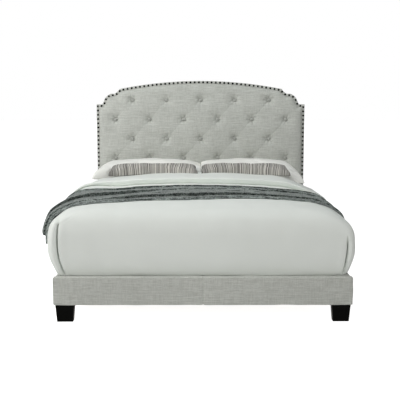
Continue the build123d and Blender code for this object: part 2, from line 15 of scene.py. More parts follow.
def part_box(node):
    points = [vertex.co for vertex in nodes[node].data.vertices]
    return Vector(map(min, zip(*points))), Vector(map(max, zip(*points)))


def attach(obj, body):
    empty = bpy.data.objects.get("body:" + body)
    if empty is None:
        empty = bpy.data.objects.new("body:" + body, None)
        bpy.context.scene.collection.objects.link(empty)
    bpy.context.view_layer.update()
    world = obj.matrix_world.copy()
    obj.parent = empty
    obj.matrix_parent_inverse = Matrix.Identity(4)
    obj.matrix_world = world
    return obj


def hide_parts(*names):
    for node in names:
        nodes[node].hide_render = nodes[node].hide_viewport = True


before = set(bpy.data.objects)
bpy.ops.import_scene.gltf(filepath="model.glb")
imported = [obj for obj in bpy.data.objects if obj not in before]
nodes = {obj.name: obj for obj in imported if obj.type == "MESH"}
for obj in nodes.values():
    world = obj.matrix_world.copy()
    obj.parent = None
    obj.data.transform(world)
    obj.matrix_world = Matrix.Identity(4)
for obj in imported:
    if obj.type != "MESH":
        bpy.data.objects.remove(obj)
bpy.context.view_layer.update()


def box_of(node):
    """A CAD node's lowest and highest corner."""
    return [np.array(corner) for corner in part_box(node)]


mattress_low, mattress_high = box_of("mattress")
pad_low, pad_high = box_of("headboard_pad")
border_low, border_high = box_of("headboard_border_cover")
foot_low, foot_high = box_of("footboard_cover")
duvet_low = box_of("duvet")[0]
throw_low, throw_high = box_of("throw")

# Headboard pad: rows of buttons from the top down, the hollows that they pull and the folds between them
button_top_height = border_high[2] - 0.151
button_column = 0.270
button_row = 0.153
button_counts = (5, 6, 5, 6)
button_hold = 0.013
hollow_depth = 0.025
hollow_reach = 0.092
pad_fall = 0.062
pad_fall_depth = 0.026
pad_square = 0.0045
pad_front_reach = 0.0275
pad_deepest = 0.0292
valley_depth = 0.0018
valley_width = 0.022
fold_depth = 0.0044
fold_width = 0.0045
pucker_depth = 0.0022

# Duvet: its outside beyond the mattress from hem to crown, its corner slits and its turned-back end
duvet_crown = 0.653
duvet_end = 0.4397
duvet_heights = (0.0, 0.10, 0.22, 0.34, 0.47, 0.60, 0.71, 0.80, 0.87, 0.92, 0.955, 0.98, 1.0)
duvet_sides = (0.040, 0.060, 0.080, 0.090, 0.090, 0.086, 0.070, 0.030, -0.024, -0.112, -0.252,
               -0.412, -0.632)
duvet_lean = 0.025
duvet_leans = (0.35, 0.35, 0.35, 0.35, 0.40, 0.50, 0.70, 0.90, 1, 1, 1, 1, 1)
duvet_fronts = (0.021, 0.031, 0.039, 0.042, 0.042, 0.040, 0.030, 0.013, -0.017, -0.063, -0.143,
                -0.269, -0.483)
duvet_corners = (0.028, 0.030, 0.032, 0.033, 0.034, 0.038, 0.050, 0.068, 0.090, 0.118, 0.150, 0.190, 0.240)
slit_left = (0.768, 0.783, 0.797, 0.804, 0.806, 0.805, 0.800, 0.790, 0.778, 0.765, 0.75, 0.75, 0.75)
slit_right = (0.778, 0.786, 0.793, 0.799, 0.800, 0.797, 0.790, 0.780, 0.768, 0.76, 0.75, 0.75, 0.75)
slit_steps = np.array([-0.0115, -0.0095, -0.008, -0.0065, -0.005, -0.0038, -0.0026, -0.0013, 0.0,
                       0.0013, 0.0026, 0.0045, 0.0065, 0.0095, 0.0135, 0.019, 0.026, 0.034, 0.045, 0.06])
slit_depth = 0.046
slit_width = 0.0030
duvet_lining = 0.0015
turnback_start = -0.0853
turnback_thick = 0.0365
turnback_puff = 0.0060
turnback_undercut = 0.030
turnback_drop = 0.190
turnback_thinning = 0.65

# Pillows: how far the white ones press together, their seam's height, and the name of the cloth's own width
pillow_press = 0.100
pillow_seam_height = 0.0215
weave_label = "across_the_weave"

# Throw: where its ends hang to, how it stands off on the left, and its folds
throw_hem_left = 0.385
throw_hem_right = 0.455
throw_flare = 0.085
throw_loose_from = 0.74
throw_loose_to = 0.98
throw_cloth = 0.0058
throw_rest = 0.0012
throw_runs = (-1.1, -0.8, -0.6, -0.4, -0.25, 0.0, 0.25, 0.5, 0.8, 1.1)
throw_folds = (
    # height, overhang, length of the front and of the back; places along the throw; strengths
    (0.009, 0.006, 0.030, 0.08, (0.05, 0.05, 0.05, 0.05, 0.05, 0.05, 0.05, 0.05, 0.06, 0.06),
     (1.4, 0.9, 0.8, 1.0, 0.9, 1.0, 0.9, 0.7, 0.4, 0.6)),
    (0.023, 0.040, 0.024, 0.20, (0.22, 0.21, 0.19, 0.17, 0.18, 0.19, 0.22, 0.20, 0.18, 0.20),
     (0.9, 0.6, 0.5, 1.0, 0.7, 1.0, 1.0, 0.8, 0.4, 0.6)),
    (0.022, 0.036, 0.024, 0.18, (0.44, 0.46, 0.50, 0.57, 0.65, 0.70, 0.72, 0.70, 0.68, 0.66),
     (0.8, 1.0, 1.0, 1.0, 0.6, 0.5, 0.3, 0.6, 0.4, 0.7)),
    (0.012, 0.022, 0.022, 0.14, (0.28, 0.30, 0.36, 0.36, 0.40, 0.44, 0.48, 0.46, 0.44, 0.42),
     (0.6, 0.2, 0.3, 0.6, 0.9, 0.4, 0.7, 0.5, 0.4, 0.6)),
    (0.019, 0.026, 0.022, 0.08, (0.90, 0.90, 0.92, 0.92, 0.92, 0.91, 0.91, 0.90, 0.92, 0.92),
     (0.3, 0.6, 0.6, 0.9, 0.8, 0.9, 1.0, 0.8, 0.4, 0.2)),
    (0.010, 0.018, 0.016, 0.05, (0.66, 0.68, 0.74, 0.80, 0.82, 0.82, 0.84, 0.82, 0.80, 0.80),
     (0.9, 0.7, 0.5, 0.3, 0.8, 0.5, 0.7, 0.9, 0.5, 0.2)),
)

# Sawn and cast pieces: how wide their edges are eased
edge_round = 0.0022


def swell(points, wave, seed):
    """Gentle waves of about this length at each point, mostly within -1 and 1, the same on every run."""
    rng = np.random.default_rng(seed)
    total = np.zeros(len(points))
    for _ in range(8):
        direction = rng.normal(size=3)
        direction *= 2 * pi / wave * rng.uniform(0.7, 1.4) / np.linalg.norm(direction)
        total += np.sin(points @ direction + rng.uniform(0, 2 * pi))
    return total / 4


def ease(value, low, high):
    """0 below low, 1 above high and a smooth step between."""
    share = np.clip((value - low) / (high - low), 0, 1)
    return share * share * (3 - 2 * share)


def hump(value, width):
    """1 at zero, falling softly to nothing beyond the width."""
    return np.exp(-(value / width) ** 2)


def unit(vectors):
    """The same directions, each of length one."""
    return vectors / np.maximum(np.linalg.norm(vectors, axis=-1, keepdims=True), 1e-9)


def linked(name, data):
    """A new object in the scene."""
    made = bpy.data.objects.new(name, data)
    bpy.context.scene.collection.objects.link(made)
    return made


def add_piece(name, points, faces, body, slot, *replaced):
    """A smooth mesh made of these points and faces, which rides on a body."""
    mesh = bpy.data.meshes.new(name)
    mesh.from_pydata(np.asarray(points).tolist(), [], [tuple(int(i) for i in face) for face in faces])
    mesh.update()
    mesh.validate()
    mesh.shade_smooth()
    return place(name, mesh, body, slot, *replaced)


def place(name, mesh, body, slot, *replaced):
    """The mesh as a piece on a body, with its finish and the CAD nodes that it replaces."""
    piece = linked(name, mesh)
    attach(piece, body)
    if replaced:
        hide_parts(*replaced)
    mesh.materials.clear()
    mesh.materials.append(finishes[slot])
    return piece


def points_of(mesh, kind="co"):
    """The mesh's points, or their normals, as an array."""
    flat = np.empty(len(mesh.vertices) * 3)
    mesh.vertices.foreach_get(kind, flat)
    return flat.reshape(-1, 3)


def move_points(mesh, points):
    """Puts the mesh's points in these places."""
    mesh.vertices.foreach_set("co", np.ascontiguousarray(points).ravel())
    mesh.update()


def settle(obj):
    """A new mesh of the object as its modifiers leave it."""
    bpy.context.view_layer.update()
    graph = bpy.context.evaluated_depsgraph_get()
    return bpy.data.meshes.new_from_object(obj.evaluated_get(graph))


def remeshed(node, voxel):
    """A copy of a CAD node's mesh in even squares of this size."""
    source = linked("work", nodes[node].data.copy())
    squares = source.modifiers.new("squares", "REMESH")
    squares.mode = "VOXEL"
    squares.voxel_size = voxel
    mesh = settle(source)
    bpy.data.objects.remove(source)
    mesh.shade_smooth()
    return mesh


def tidy(mesh, gap):
    """Joins points that lie on each other, and turns all faces outwards."""
    work = bmesh.new()
    work.from_mesh(mesh)
    bmesh.ops.remove_doubles(work, verts=work.verts, dist=gap)
    bmesh.ops.recalc_face_normals(work, faces=work.faces)
    work.to_mesh(mesh)
    work.free()
    mesh.shade_smooth()
    mesh.update()


def grid_faces(rows, columns, start=0, closed=False):
    """Squares between the points of a grid that is stored row by row."""
    index = start + np.arange(rows * columns).reshape(rows, columns)
    across = np.roll(index, -1, axis=1) if closed else index[:, 1:]
    first = index if closed else index[:, :-1]
    return np.stack([first[:-1], across[:-1], across[1:], first[1:]], axis=-1).reshape(-1, 4)


def sewn(upper, under, edges=4):
    """Points and faces of two layers of cloth, joined along this many edges, the last row's as the last."""
    rows, columns = upper.shape[:2]
    count = rows * columns
    faces = [tuple(face) for face in grid_faces(rows, columns)]
    faces += [tuple(face[::-1]) for face in grid_faces(rows, columns, count)]
    index = np.arange(count).reshape(rows, columns)
    for edge in (index[0], index[:, 0], index[:, -1], index[-1])[:edges]:
        faces += [(a, b, b + count, a + count) for a, b in zip(edge[:-1], edge[1:])]
    return np.concatenate([upper.reshape(-1, 3), under.reshape(-1, 3)]), faces


def tube(rings):
    """Points and faces of a closed body through rings of as many points each, with flat ends."""
    rings = np.asarray(rings)
    rows, columns = rings.shape[:2]
    faces = [tuple(face) for face in grid_faces(rows, columns, closed=True)]
    faces.append(tuple(range(columns))[::-1])
    faces.append(tuple(range((rows - 1) * columns, rows * columns)))
    return rings.reshape(-1, 3), faces


def lines_between(low, high, radius, step, extra=()):
    """Grid lines from low to high, close together in the rounded margins."""
    margin = radius * np.array([0, 0.25, 0.5, 0.75, 1.0])
    count = max(2, int((high - low - 2 * radius) / step) + 1)
    middle = np.linspace(low + radius, high - radius, count)
    lines = np.concatenate([low + margin, middle, high - margin, np.array(extra)])
    return np.unique(np.round(lines, 6))


def padded_block(low, high, radius, step, extra=((), (), ())):
    """Points, outward directions and faces of a block with rounded edges and corners."""
    lines = [lines_between(low[i], high[i], radius, step, extra[i]) for i in range(3)]
    points, faces, start = [], [], 0
    for axis in range(3):
        first, second = [i for i in range(3) if i != axis]
        for end in (low, high):
            grid = np.zeros((len(lines[first]), len(lines[second]), 3))
            grid[..., first] = lines[first][:, None]
            grid[..., second] = lines[second][None, :]
            grid[..., axis] = end[axis]
            squares = grid_faces(*grid.shape[:2], start)
            turned = (axis == 1) != (end is low)
            faces.append(squares[:, ::-1] if turned else squares)
            points.append(grid.reshape(-1, 3))
            start += grid.shape[0] * grid.shape[1]
    points, faces = np.concatenate(points), np.concatenate(faces)
    points, back = np.unique(np.round(points, 6), axis=0, return_inverse=True)
    faces = back.ravel()[faces]
    inner = np.clip(points, np.array(low) + radius, np.array(high) - radius)
    outward = unit(points - inner)
    return inner + outward * radius, outward, faces


def outline_of(node, y):
    """The points of a flat piece's outer edge at y, in order, as x and z."""
    work = bmesh.new()
    work.from_mesh(nodes[node].data)
    bmesh.ops.remove_doubles(work, verts=work.verts, dist=1e-5)
    rim = []
    for edge in work.edges:
        flat = all(abs(vert.co.y - y) < 2e-4 for vert in edge.verts)
        if flat and len(edge.link_faces) == 2 and edge.calc_face_angle(0) > 0.5:
            rim.append(edge)
    rim_set = set(rim)
    edge, loop = rim[0], [rim[0].verts[0]]
    while edge is not None:
        rim_set.discard(edge)
        onward = edge.other_vert(loop[-1])
        if onward == loop[0]:
            break
        loop.append(onward)
        edge = next((other for other in onward.link_edges if other in rim_set), None)
    path = np.array([(vert.co.x, vert.co.z) for vert in loop])
    work.free()
    area = np.sum(path[:, 0] * np.roll(path[:, 1], -1) - np.roll(path[:, 0], -1) * path[:, 1])
    return path if area > 0 else path[::-1]


def along(path, step):
    """A closed path with points about one step apart, its corners kept."""
    made = []
    for start, end in zip(path, np.roll(path, -1, axis=0)):
        count = max(1, round(np.linalg.norm(end - start) / step))
        made += [start + (end - start) * share / count for share in range(count)]
    return np.array(made)


def inset_path(path):
    """For each point of a closed path, the inward step that keeps its sides at one distance."""
    before = path - np.roll(path, 1, axis=0)
    after = np.roll(path, -1, axis=0) - path
    first, second = (unit(np.stack([-way[:, 1], way[:, 0]], axis=1)) for way in (before, after))
    middle = unit(first + second)
    return middle / np.clip(np.sum(middle * first, axis=1), 0.5, 1)[:, None]


def edge_distance(points, path):
    """How far each point (x, z) lies from a closed path."""
    best = np.full(len(points), 1e9)
    for start, end in zip(path, np.roll(path, -1, axis=0)):
        way = end - start
        length = way @ way
        if length < 1e-12:
            continue
        share = np.clip((points - start) @ way / length, 0, 1)
        gap = points - start - share[:, None] * way
        best = np.minimum(best, np.einsum("ij,ij->i", gap, gap))
    return np.sqrt(best)


# Node trees: small writers for all materials and effect groups

def add(tree, kind, inputs=None, **settings):
    """A new node with these settings, and these inputs set or joined."""
    made = tree.nodes.new("ShaderNode" + kind)
    for key, value in settings.items():
        setattr(made, key, value)
    for key, value in (inputs or {}).items():
        join(tree, value, made.inputs[key])
    return made


def join(tree, value, socket):
    """Links another node's output to the socket, or sets the socket to a plain value."""
    if isinstance(value, bpy.types.NodeSocket):
        tree.links.new(value, socket)
    else:
        socket.default_value = value


def maths(tree, operation, *values):
    return add(tree, "Math", dict(enumerate(values)), operation=operation).outputs[0]


def times(tree, first, second):
    return maths(tree, "MULTIPLY", first, second)


def sine_of(tree, value, factor):
    return maths(tree, "SINE", times(tree, value, factor))


def scaled(tree, vector, shares):
    """A vector with each of its parts times its own share."""
    return add(tree, "VectorMath", {0: vector, 1: shares}, operation="MULTIPLY").outputs[0]


def parts_of(tree, vector):
    return add(tree, "SeparateXYZ", {0: vector}).outputs[:]


def place_on(tree):
    """Where a spot lies on its piece."""
    return add(tree, "TexCoord").outputs["Object"]


def noise(tree, scale, detail, dimensions="3D", **inputs):
    """Soft random values round a half."""
    inputs.update(Scale=scale, Detail=detail)
    return add(tree, "TexNoise", inputs, noise_dimensions=dimensions).outputs[0]


def blend_colours(tree, share, first, second):
    return add(tree, "Mix", {0: share, 6: first, 7: second}, data_type="RGBA").outputs[2]


def shaded(tree, colour, value):
    """The colour, this many times as bright."""
    return add(tree, "HueSaturation", {"Color": colour, "Value": value}).outputs[0]


def spread(tree, value, low, high, to_low=0.0, to_high=1.0):
    """A smooth step from one result to another while the value goes from low to high."""
    inputs = {0: value, 1: low, 2: high, 3: to_low, 4: to_high}
    return add(tree, "MapRange", inputs, interpolation_type="SMOOTHSTEP").outputs[0]


def effect(name, inputs, outputs):
    """An empty node group with these sockets; returns it with its input and output nodes."""
    group = bpy.data.node_groups.new(name, "ShaderNodeTree")
    for label, (kind, value) in inputs.items():
        socket = group.interface.new_socket(label, in_out="INPUT", socket_type=kind)
        if value is not None:
            socket.default_value = value
    for label, kind in outputs.items():
        group.interface.new_socket(label, in_out="OUTPUT", socket_type=kind)
    return group, group.nodes.new("NodeGroupInput").outputs, group.nodes.new("NodeGroupOutput").inputs


NUMBER, COLOUR, VECTOR = "NodeSocketFloat", "NodeSocketColor", "NodeSocketVector"


def make_cloth_directions():
    """Across and up on whichever way the surface faces, from the place and the normal."""
    group, _, made = effect("cloth_directions", {}, {"Across": VECTOR})
    facing = add(group, "NewGeometry").outputs["True Normal"]
    size = add(group, "VectorMath", {0: facing}, operation="ABSOLUTE").outputs[0]
    x, y, z = parts_of(group, size)
    place_x, place_y, place_z = parts_of(group, place_on(group))
    side = maths(group, "GREATER_THAN", x, maths(group, "MAXIMUM", y, z))
    top = maths(group, "GREATER_THAN", z, maths(group, "MAXIMUM", x, y))
    across = add(group, "Mix", {0: side, 2: place_x, 3: place_y}, data_type="FLOAT").outputs[0]
    up = add(group, "Mix", {0: top, 2: place_z, 3: place_y}, data_type="FLOAT").outputs[0]
    join(group, add(group, "CombineXYZ", {0: across, 1: up}).outputs[0], made["Across"])
    return group


def make_yarns():
    """Yarns that cross over and under, thick and thin along their length."""
    group, given, made = effect(
        "yarns",
        {"Across": (VECTOR, None), "Pitch": (NUMBER, 0.0014), "Slub": (NUMBER, 0.5)},
        {"Height": NUMBER, "Tone": NUMBER})
    x, y, _ = parts_of(group, given["Across"])
    turn = maths(group, "DIVIDE", pi, given["Pitch"])
    warp, weft = sine_of(group, x, turn), sine_of(group, y, turn)
    tones = []
    slubs = ((36.0, 900.0, 0.0), (1100.0, 50.0, 0.0), (9.0, 170.0, 0.0), (170.0, 12.0, 0.0))
    for index, stretch in enumerate(slubs):
        slub = noise(group, 1.0, 2.0, "4D", Vector=scaled(group, given["Across"], stretch), W=4.0 * index,
                     Roughness=0.6)
        tones.append(maths(group, "SUBTRACT", slub, 0.5))
    fine = maths(group, "ADD", tones[0], times(group, tones[1], 0.75))
    coarse = maths(group, "MULTIPLY_ADD", tones[3], 0.6, tones[2])
    round_yarns = maths(group, "ADD", maths(group, "ABSOLUTE", warp), maths(group, "ABSOLUTE", weft))
    weave = maths(group, "MULTIPLY_ADD", times(group, warp, weft), 0.35, round_yarns)
    raised = maths(group, "MULTIPLY_ADD", times(group, fine, given["Slub"]), 3.0, weave)
    join(group, raised, made["Height"])
    join(group, maths(group, "MULTIPLY_ADD", coarse, 0.9, fine), made["Tone"])
    return group


def make_tone_drift():
    """A colour that drifts a little lighter and darker over the piece, as used cloth and timber do."""
    group, given, made = effect(
        "tone_drift",
        {"Colour": (COLOUR, (0.5, 0.5, 0.5, 1)), "Amount": (NUMBER, 0.06), "Size": (NUMBER, 0.2)},
        {"Colour": COLOUR})
    scale = maths(group, "DIVIDE", 1.0, given["Size"])
    cloud = noise(group, scale, 4.0, Vector=place_on(group), Roughness=0.55)
    change = times(group, maths(group, "SUBTRACT", cloud, 0.5), given["Amount"])
    bright = maths(group, "MULTIPLY_ADD", change, 4.0, 1.0)
    join(group, shaded(group, given["Colour"], bright), made["Colour"])
    return group


def make_worn_edges():
    """How far a spot lies on a worn outer edge, from 0 to 1, broken up by small scratches."""
    group, given, made = effect("worn_edges", {"Reach": (NUMBER, 0.08)}, {"Wear": NUMBER})
    bend = add(group, "NewGeometry").outputs["Pointiness"]
    level = 0.52
    sharp = spread(group, bend, level, maths(group, "ADD", level, given["Reach"]))
    broken = spread(group, noise(group, 90.0, 5.0, Vector=place_on(group)), 0.45, 0.62)
    join(group, times(group, sharp, broken), made["Wear"])
    return group


def make_timber_grain():
    """Growth rings and pores of a sawn board that runs along one way."""
    group, given, made = effect(
        "timber_grain",
        {"Early": (COLOUR, (0.62, 0.42, 0.24, 1)), "Late": (COLOUR, (0.40, 0.23, 0.11, 1)),
         "Stretch": (VECTOR, (1.0, 1.0, 1.0)), "Rings": (NUMBER, 9.0)},
        {"Colour": COLOUR, "Height": NUMBER})
    run = scaled(group, place_on(group), given["Stretch"])
    ring = times(group, noise(group, 3.0, 3.0, Vector=run), given["Rings"])
    late = spread(group, maths(group, "FRACT", times(group, ring, 2.0)), 0.45, 0.98)
    pores = noise(group, 160.0, 3.0, Vector=run)
    mixed = blend_colours(group, late, given["Early"], given["Late"])
    join(group, shaded(group, mixed, spread(group, pores, 0.35, 0.6, 0.82, 1.0)), made["Colour"])
    join(group, maths(group, "SUBTRACT", pores, times(group, late, 0.4)), made["Height"])
    return group


cloth_directions = make_cloth_directions()
yarns = make_yarns()
tone_drift = make_tone_drift()
worn_edges = make_worn_edges()
timber_grain = make_timber_grain()


def new_finish(name, roughness, metallic=0.0, sheen=0.0, specular=0.5):
    """A material with its shader; its plain values stand on the shader's own sockets."""
    material = bpy.data.materials.new(name)
    material.use_nodes = True
    tree = material.node_tree
    shader = tree.nodes["Principled BSDF"]
    plain = {"Roughness": roughness, "Metallic": metallic, "Sheen Weight": sheen, "Sheen Roughness": 0.5,
             "Coat Weight": 0.0, "Specular IOR Level": specular}
    for label, value in plain.items():
        shader.inputs[label].default_value = value
    return material, tree, shader


def use(tree, group, **inputs):
    """An effect group placed in a tree, with its inputs set or joined."""
    made = tree.nodes.new("ShaderNodeGroup")
    made.node_tree = group
    for label, value in inputs.items():
        join(tree, value, made.inputs[label])
    return made.outputs


def directions_on(tree):
    return use(tree, cloth_directions)["Across"]


def woven(tree, pitch, slub):
    """Crossing yarns of this pitch, more or less slubby."""
    return use(tree, yarns, Across=directions_on(tree), Pitch=pitch, Slub=slub)


def drifting(tree, colour, amount, size):
    return use(tree, tone_drift, Colour=colour, Amount=amount, Size=size)["Colour"]


def bump(tree, shader, height, distance, strength=1.0):
    made = add(tree, "Bump", {"Height": height, "Distance": distance, "Strength": strength})
    join(tree, made.outputs[0], shader.inputs["Normal"])


def paint(tree, shader, colour):
    join(tree, colour, shader.inputs["Base Color"])


def rgb(*values):
    """A colour from its screen values, 0 to 255."""
    shares = [value / 255 for value in values]
    linear = [share / 12.92 if share < 0.04045 else ((share + 0.055) / 1.055) ** 2.4 for share in shares]
    return (*linear, 1)


def linen_look(name, light, dark, pitch):
    """Upholstery cloth of two heathered yarns, thick and thin along their length."""
    material, tree, shader = new_finish(name, 0.92, sheen=0.12)
    cloth = woven(tree, pitch, 0.5)
    colour = blend_colours(tree, spread(tree, cloth["Tone"], -0.22, 0.22), dark, light)
    paint(tree, shader, drifting(tree, colour, 0.05, 0.35))
    bump(tree, shader, cloth["Height"], 0.0004, 0.7)
    return material


def plain_cotton(name, colour, pitch, crease=0.0015):
    """Smooth closely woven cotton with faint creases."""
    material, tree, shader = new_finish(name, 0.86, sheen=0.1)
    creases = noise(tree, 9.0, 5.0, Vector=place_on(tree), Distortion=0.8)
    paint(tree, shader, drifting(tree, colour, 0.012, 0.3))
    fine = times(tree, woven(tree, pitch, 0.15)["Height"], 0.00012)
    bump(tree, shader, maths(tree, "MULTIPLY_ADD", creases, crease, fine), 1.0, 0.8)
    return material


def heather_knit(name):
    """Thick knit of charcoal yarn flecked with pale fibres, in rows of loops."""
    loop_width, row_height = 0.009, 0.008
    material, tree, shader = new_finish(name, 0.95, sheen=0.25)
    x, y, _ = parts_of(tree, directions_on(tree))
    place_at = place_on(tree)
    flecks = noise(tree, 150.0, 2.0, Vector=place_at)
    clumps = noise(tree, 1.0, 3.0, Vector=scaled(tree, place_at, (26.0, 95.0, 95.0)))
    share = spread(tree, maths(tree, "MULTIPLY_ADD", clumps, 0.9, flecks), 0.80, 1.16)
    paint(tree, shader, blend_colours(tree, share, rgb(40, 50, 47), rgb(160, 170, 165)))
    slant = maths(tree, "ABSOLUTE", sine_of(tree, x, pi / loop_width))
    row = maths(tree, "MULTIPLY_ADD", slant, 1.1, times(tree, y, 2 * pi / row_height))
    loops = times(tree, maths(tree, "ADD", maths(tree, "SINE", row), 1.0), slant)
    bump(tree, shader, maths(tree, "MULTIPLY_ADD", flecks, 0.8, loops), 0.0016, 0.8)
    return material


def woven_stripes(name):
    """Cotton with uneven thin stripes from front to back, pale, beige, grey and dark, and painted shade
    that darkens the stripes towards the pillow's ends.
    """
    pillow_centre, end_shade_from, end_shade_to = 0.332, 0.27, 0.315
    stops = ((0.32, rgb(62, 58, 54)), (0.39, rgb(140, 136, 130)), (0.46, rgb(172, 170, 165)),
             (0.54, rgb(178, 175, 169)), (0.61, rgb(214, 211, 203)), (0.70, rgb(232, 229, 222)))
    material, tree, shader = new_finish(name, 0.9, sheen=0.1)
    x = add(tree, "Attribute", attribute_name=weave_label).outputs["Fac"]
    fine, broad = (noise(tree, 1.0, 1.0, "1D", W=times(tree, x, pitch)) for pitch in (150.0, 21.0))
    ramp = add(tree, "ValToRGB", {0: fine})
    elements = ramp.color_ramp.elements
    elements[0].position, elements[0].color = stops[0]
    elements[1].position, elements[1].color = stops[-1]
    for position, colour in stops[1:-1]:
        elements.new(position).color = colour
    # Painted shade: the stripes turn darker towards each end of the pillow, away from its centre.
    offset = maths(tree, "SUBTRACT", maths(tree, "ABSOLUTE", x), pillow_centre)
    from_centre = maths(tree, "ABSOLUTE", offset)
    value = times(tree, spread(tree, broad, 0.35, 0.65, 0.72, 1.08),
                  spread(tree, from_centre, end_shade_from, end_shade_to, 1.0, 0.55))
    paint(tree, shader, shaded(tree, ramp.outputs[0], value))
    bump(tree, shader, woven(tree, 0.0012, 0.3)["Height"], 0.00025, 0.8)
    return material


def sawn_timber(name, early, late, stretch, rings):
    """Raw timber whose grain runs along the least stretched way."""
    material, tree, shader = new_finish(name, 0.75)
    grain = use(tree, timber_grain, Early=early, Late=late, Stretch=stretch, Rings=rings)
    paint(tree, shader, drifting(tree, grain["Colour"], 0.08, 0.5))
    bump(tree, shader, grain["Height"], 0.0005, 0.6)
    return material


def coated_hard(name, colour, worn, roughness, metallic=0.0, specular=0.5, grain=400.0):
    """Paint, plating or moulded plastic: fine orange peel, and a little wear on its outer edges."""
    material, tree, shader = new_finish(name, roughness, metallic=metallic, specular=specular)
    wear = use(tree, worn_edges, Reach=0.1)["Wear"]
    peel = noise(tree, grain, 3.0, Vector=place_on(tree))
    paint(tree, shader, blend_colours(tree, wear, drifting(tree, colour, 0.05, 0.05), worn))
    rough = spread(tree, peel, 0.3, 0.7, roughness * 0.8, min(1.0, roughness * 1.25))
    join(tree, rough, shader.inputs["Roughness"])
    bump(tree, shader, peel, 0.0002, 0.4)
    return material


def pressed_fibre(name, colour, fleck, scale=260.0):
    """Non-woven cloth or felt: short fibres pressed flat, with a small embossed grid."""
    material, tree, shader = new_finish(name, 0.95, sheen=0.1)
    fibres = noise(tree, scale, 6.0, Vector=place_on(tree), Distortion=1.6)
    inputs = {"Vector": directions_on(tree), "Scale": 420.0, "Randomness": 0.15}
    cells = add(tree, "TexVoronoi", inputs).outputs[0]
    tone = blend_colours(tree, spread(tree, fibres, 0.4, 0.68), colour, fleck)
    paint(tree, shader, drifting(tree, tone, 0.04, 0.25))
    bump(tree, shader, maths(tree, "MULTIPLY_ADD", cells, 1.4, fibres), 0.0004, 0.6)
    return material


def quilted_ticking(name):
    """White mattress cloth, knitted, with wavy quilted rows, painted a little darker in their valleys as
    painted shade.
    """
    wave_length, row_height = 0.16, 0.06
    material, tree, shader = new_finish(name, 0.85, sheen=0.15)
    x, y, _ = parts_of(tree, directions_on(tree))
    wave = times(tree, sine_of(tree, x, 2 * pi / wave_length), 0.9)
    rows = maths(tree, "MULTIPLY_ADD", y, 2 * pi / row_height, wave)
    valley = maths(tree, "POWER", maths(tree, "ABSOLUTE", sine_of(tree, rows, 0.5)), 0.5)
    white = drifting(tree, rgb(236, 235, 230), 0.015, 0.3)
    # Painted shade: the white turns darker in the quilted valleys.
    paint(tree, shader, shaded(tree, white, spread(tree, valley, 0.0, 0.5, 0.9, 1.0)))
    fine = times(tree, woven(tree, 0.0016, 0.1)["Height"], 0.0002)
    bump(tree, shader, maths(tree, "MULTIPLY_ADD", valley, 0.006, fine), 1.0, 0.8)
    return material


def make_finishes():
    """Every finish of the bed, under the name of its material."""
    made = {}

    def kept(maker, name, *looks, **more):
        made[name] = maker(name, *looks, **more)

    kept(linen_look, "frame_cloth", rgb(210, 212, 206), rgb(183, 185, 178), 0.0016)
    # The buttons' cloth is the frame cloth painted darker: painted shade of the hollows that the buttons
    # sit in.
    kept(linen_look, "button_cloth_painted_shade", rgb(184, 186, 180), rgb(160, 162, 156), 0.0016)
    kept(plain_cotton, "duvet_cotton", rgb(238, 242, 237), 0.0007)
    kept(plain_cotton, "pillow_cotton", rgb(250, 250, 245), 0.0007, 0.002)
    kept(quilted_ticking, "mattress_cloth")
    kept(heather_knit, "throw_knit")
    kept(woven_stripes, "accent_stripe")
    kept(pressed_fibre, "dust_cloth", rgb(34, 34, 35), rgb(52, 52, 53))
    kept(pressed_fibre, "foundation_cloth", rgb(206, 205, 200), rgb(222, 221, 216))
    kept(pressed_fibre, "foundation_felt", rgb(150, 148, 143), rgb(186, 182, 174), 120.0)
    kept(sawn_timber, "plywood", rgb(214, 186, 146), rgb(188, 154, 112), (1.6, 8.0, 0.5), 6.0)
    kept(sawn_timber, "frame_timber", rgb(206, 172, 126), rgb(168, 124, 80), (0.6, 6.0, 3.0), 8.0)
    kept(sawn_timber, "slat_timber", rgb(222, 196, 154), rgb(186, 150, 104), (0.5, 7.0, 7.0), 8.0)
    kept(coated_hard, "zinc_steel", rgb(176, 178, 180), rgb(206, 206, 204), 0.38, metallic=1.0)
    kept(coated_hard, "nail_black", rgb(5, 5, 6), rgb(22, 21, 20), 0.55, specular=0.05)
    kept(coated_hard, "foot_black", rgb(4, 4, 3), rgb(16, 14, 12), 0.5, specular=0.03, grain=160.0)
    kept(coated_hard, "glide_plastic", rgb(30, 30, 31), rgb(60, 60, 60), 0.5)
    return made


finishes = make_finishes()
cad_finishes = {
    "plywood": ("headboard_panel",),
    "frame_timber": ("headboard_timbers", "headboard_crest_board", "footboard_timber",
                     "side_rail_timber_left", "side_rail_timber_right"),
    "slat_timber": ("ledge_left", "ledge_right", "slats", "centre_beam", "foundation_boards",
                    "foundation_slats"),
    "zinc_steel": ("slat_screws", "beam_brackets", "beam_bracket_bolts", "corner_plates", "corner_bolts",
                   "foot_bolts"),
    "nail_black": ("nail_heads_left", "nail_heads_top", "nail_heads_right"),
    "foot_black": ("front_foot_left", "front_foot_right", "rear_foot_left", "rear_foot_right",
                   "support_legs"),
    "glide_plastic": ("glide_front", "glide_middle", "glide_rear"),
    "foundation_felt": ("foundation_pad",),
    # The buttons take the darker cloth, which is painted shade.
    "button_cloth_painted_shade": ("tuft_buttons",),
}


def finish_cad_nodes():
    """Gives each carried-over CAD node its finish, and eases the edges of what is sawn or cast."""
    for slot, names in cad_finishes.items():
        for name in names:
            node = nodes[name]
            node.data.materials.clear()
            node.data.materials.append(finishes[slot])
            if slot in ("foot_black", "frame_timber", "slat_timber"):
                weld = node.modifiers.new("joined", "WELD")
                weld.merge_threshold = 0.00001
                eased = node.modifiers.new("eased_edges", "BEVEL")
                eased.width = edge_round
                eased.segments = 3
                eased.limit_method = "ANGLE"
                eased.angle_limit = radians(30)
                eased.use_clamp_overlap = True


# Headboard

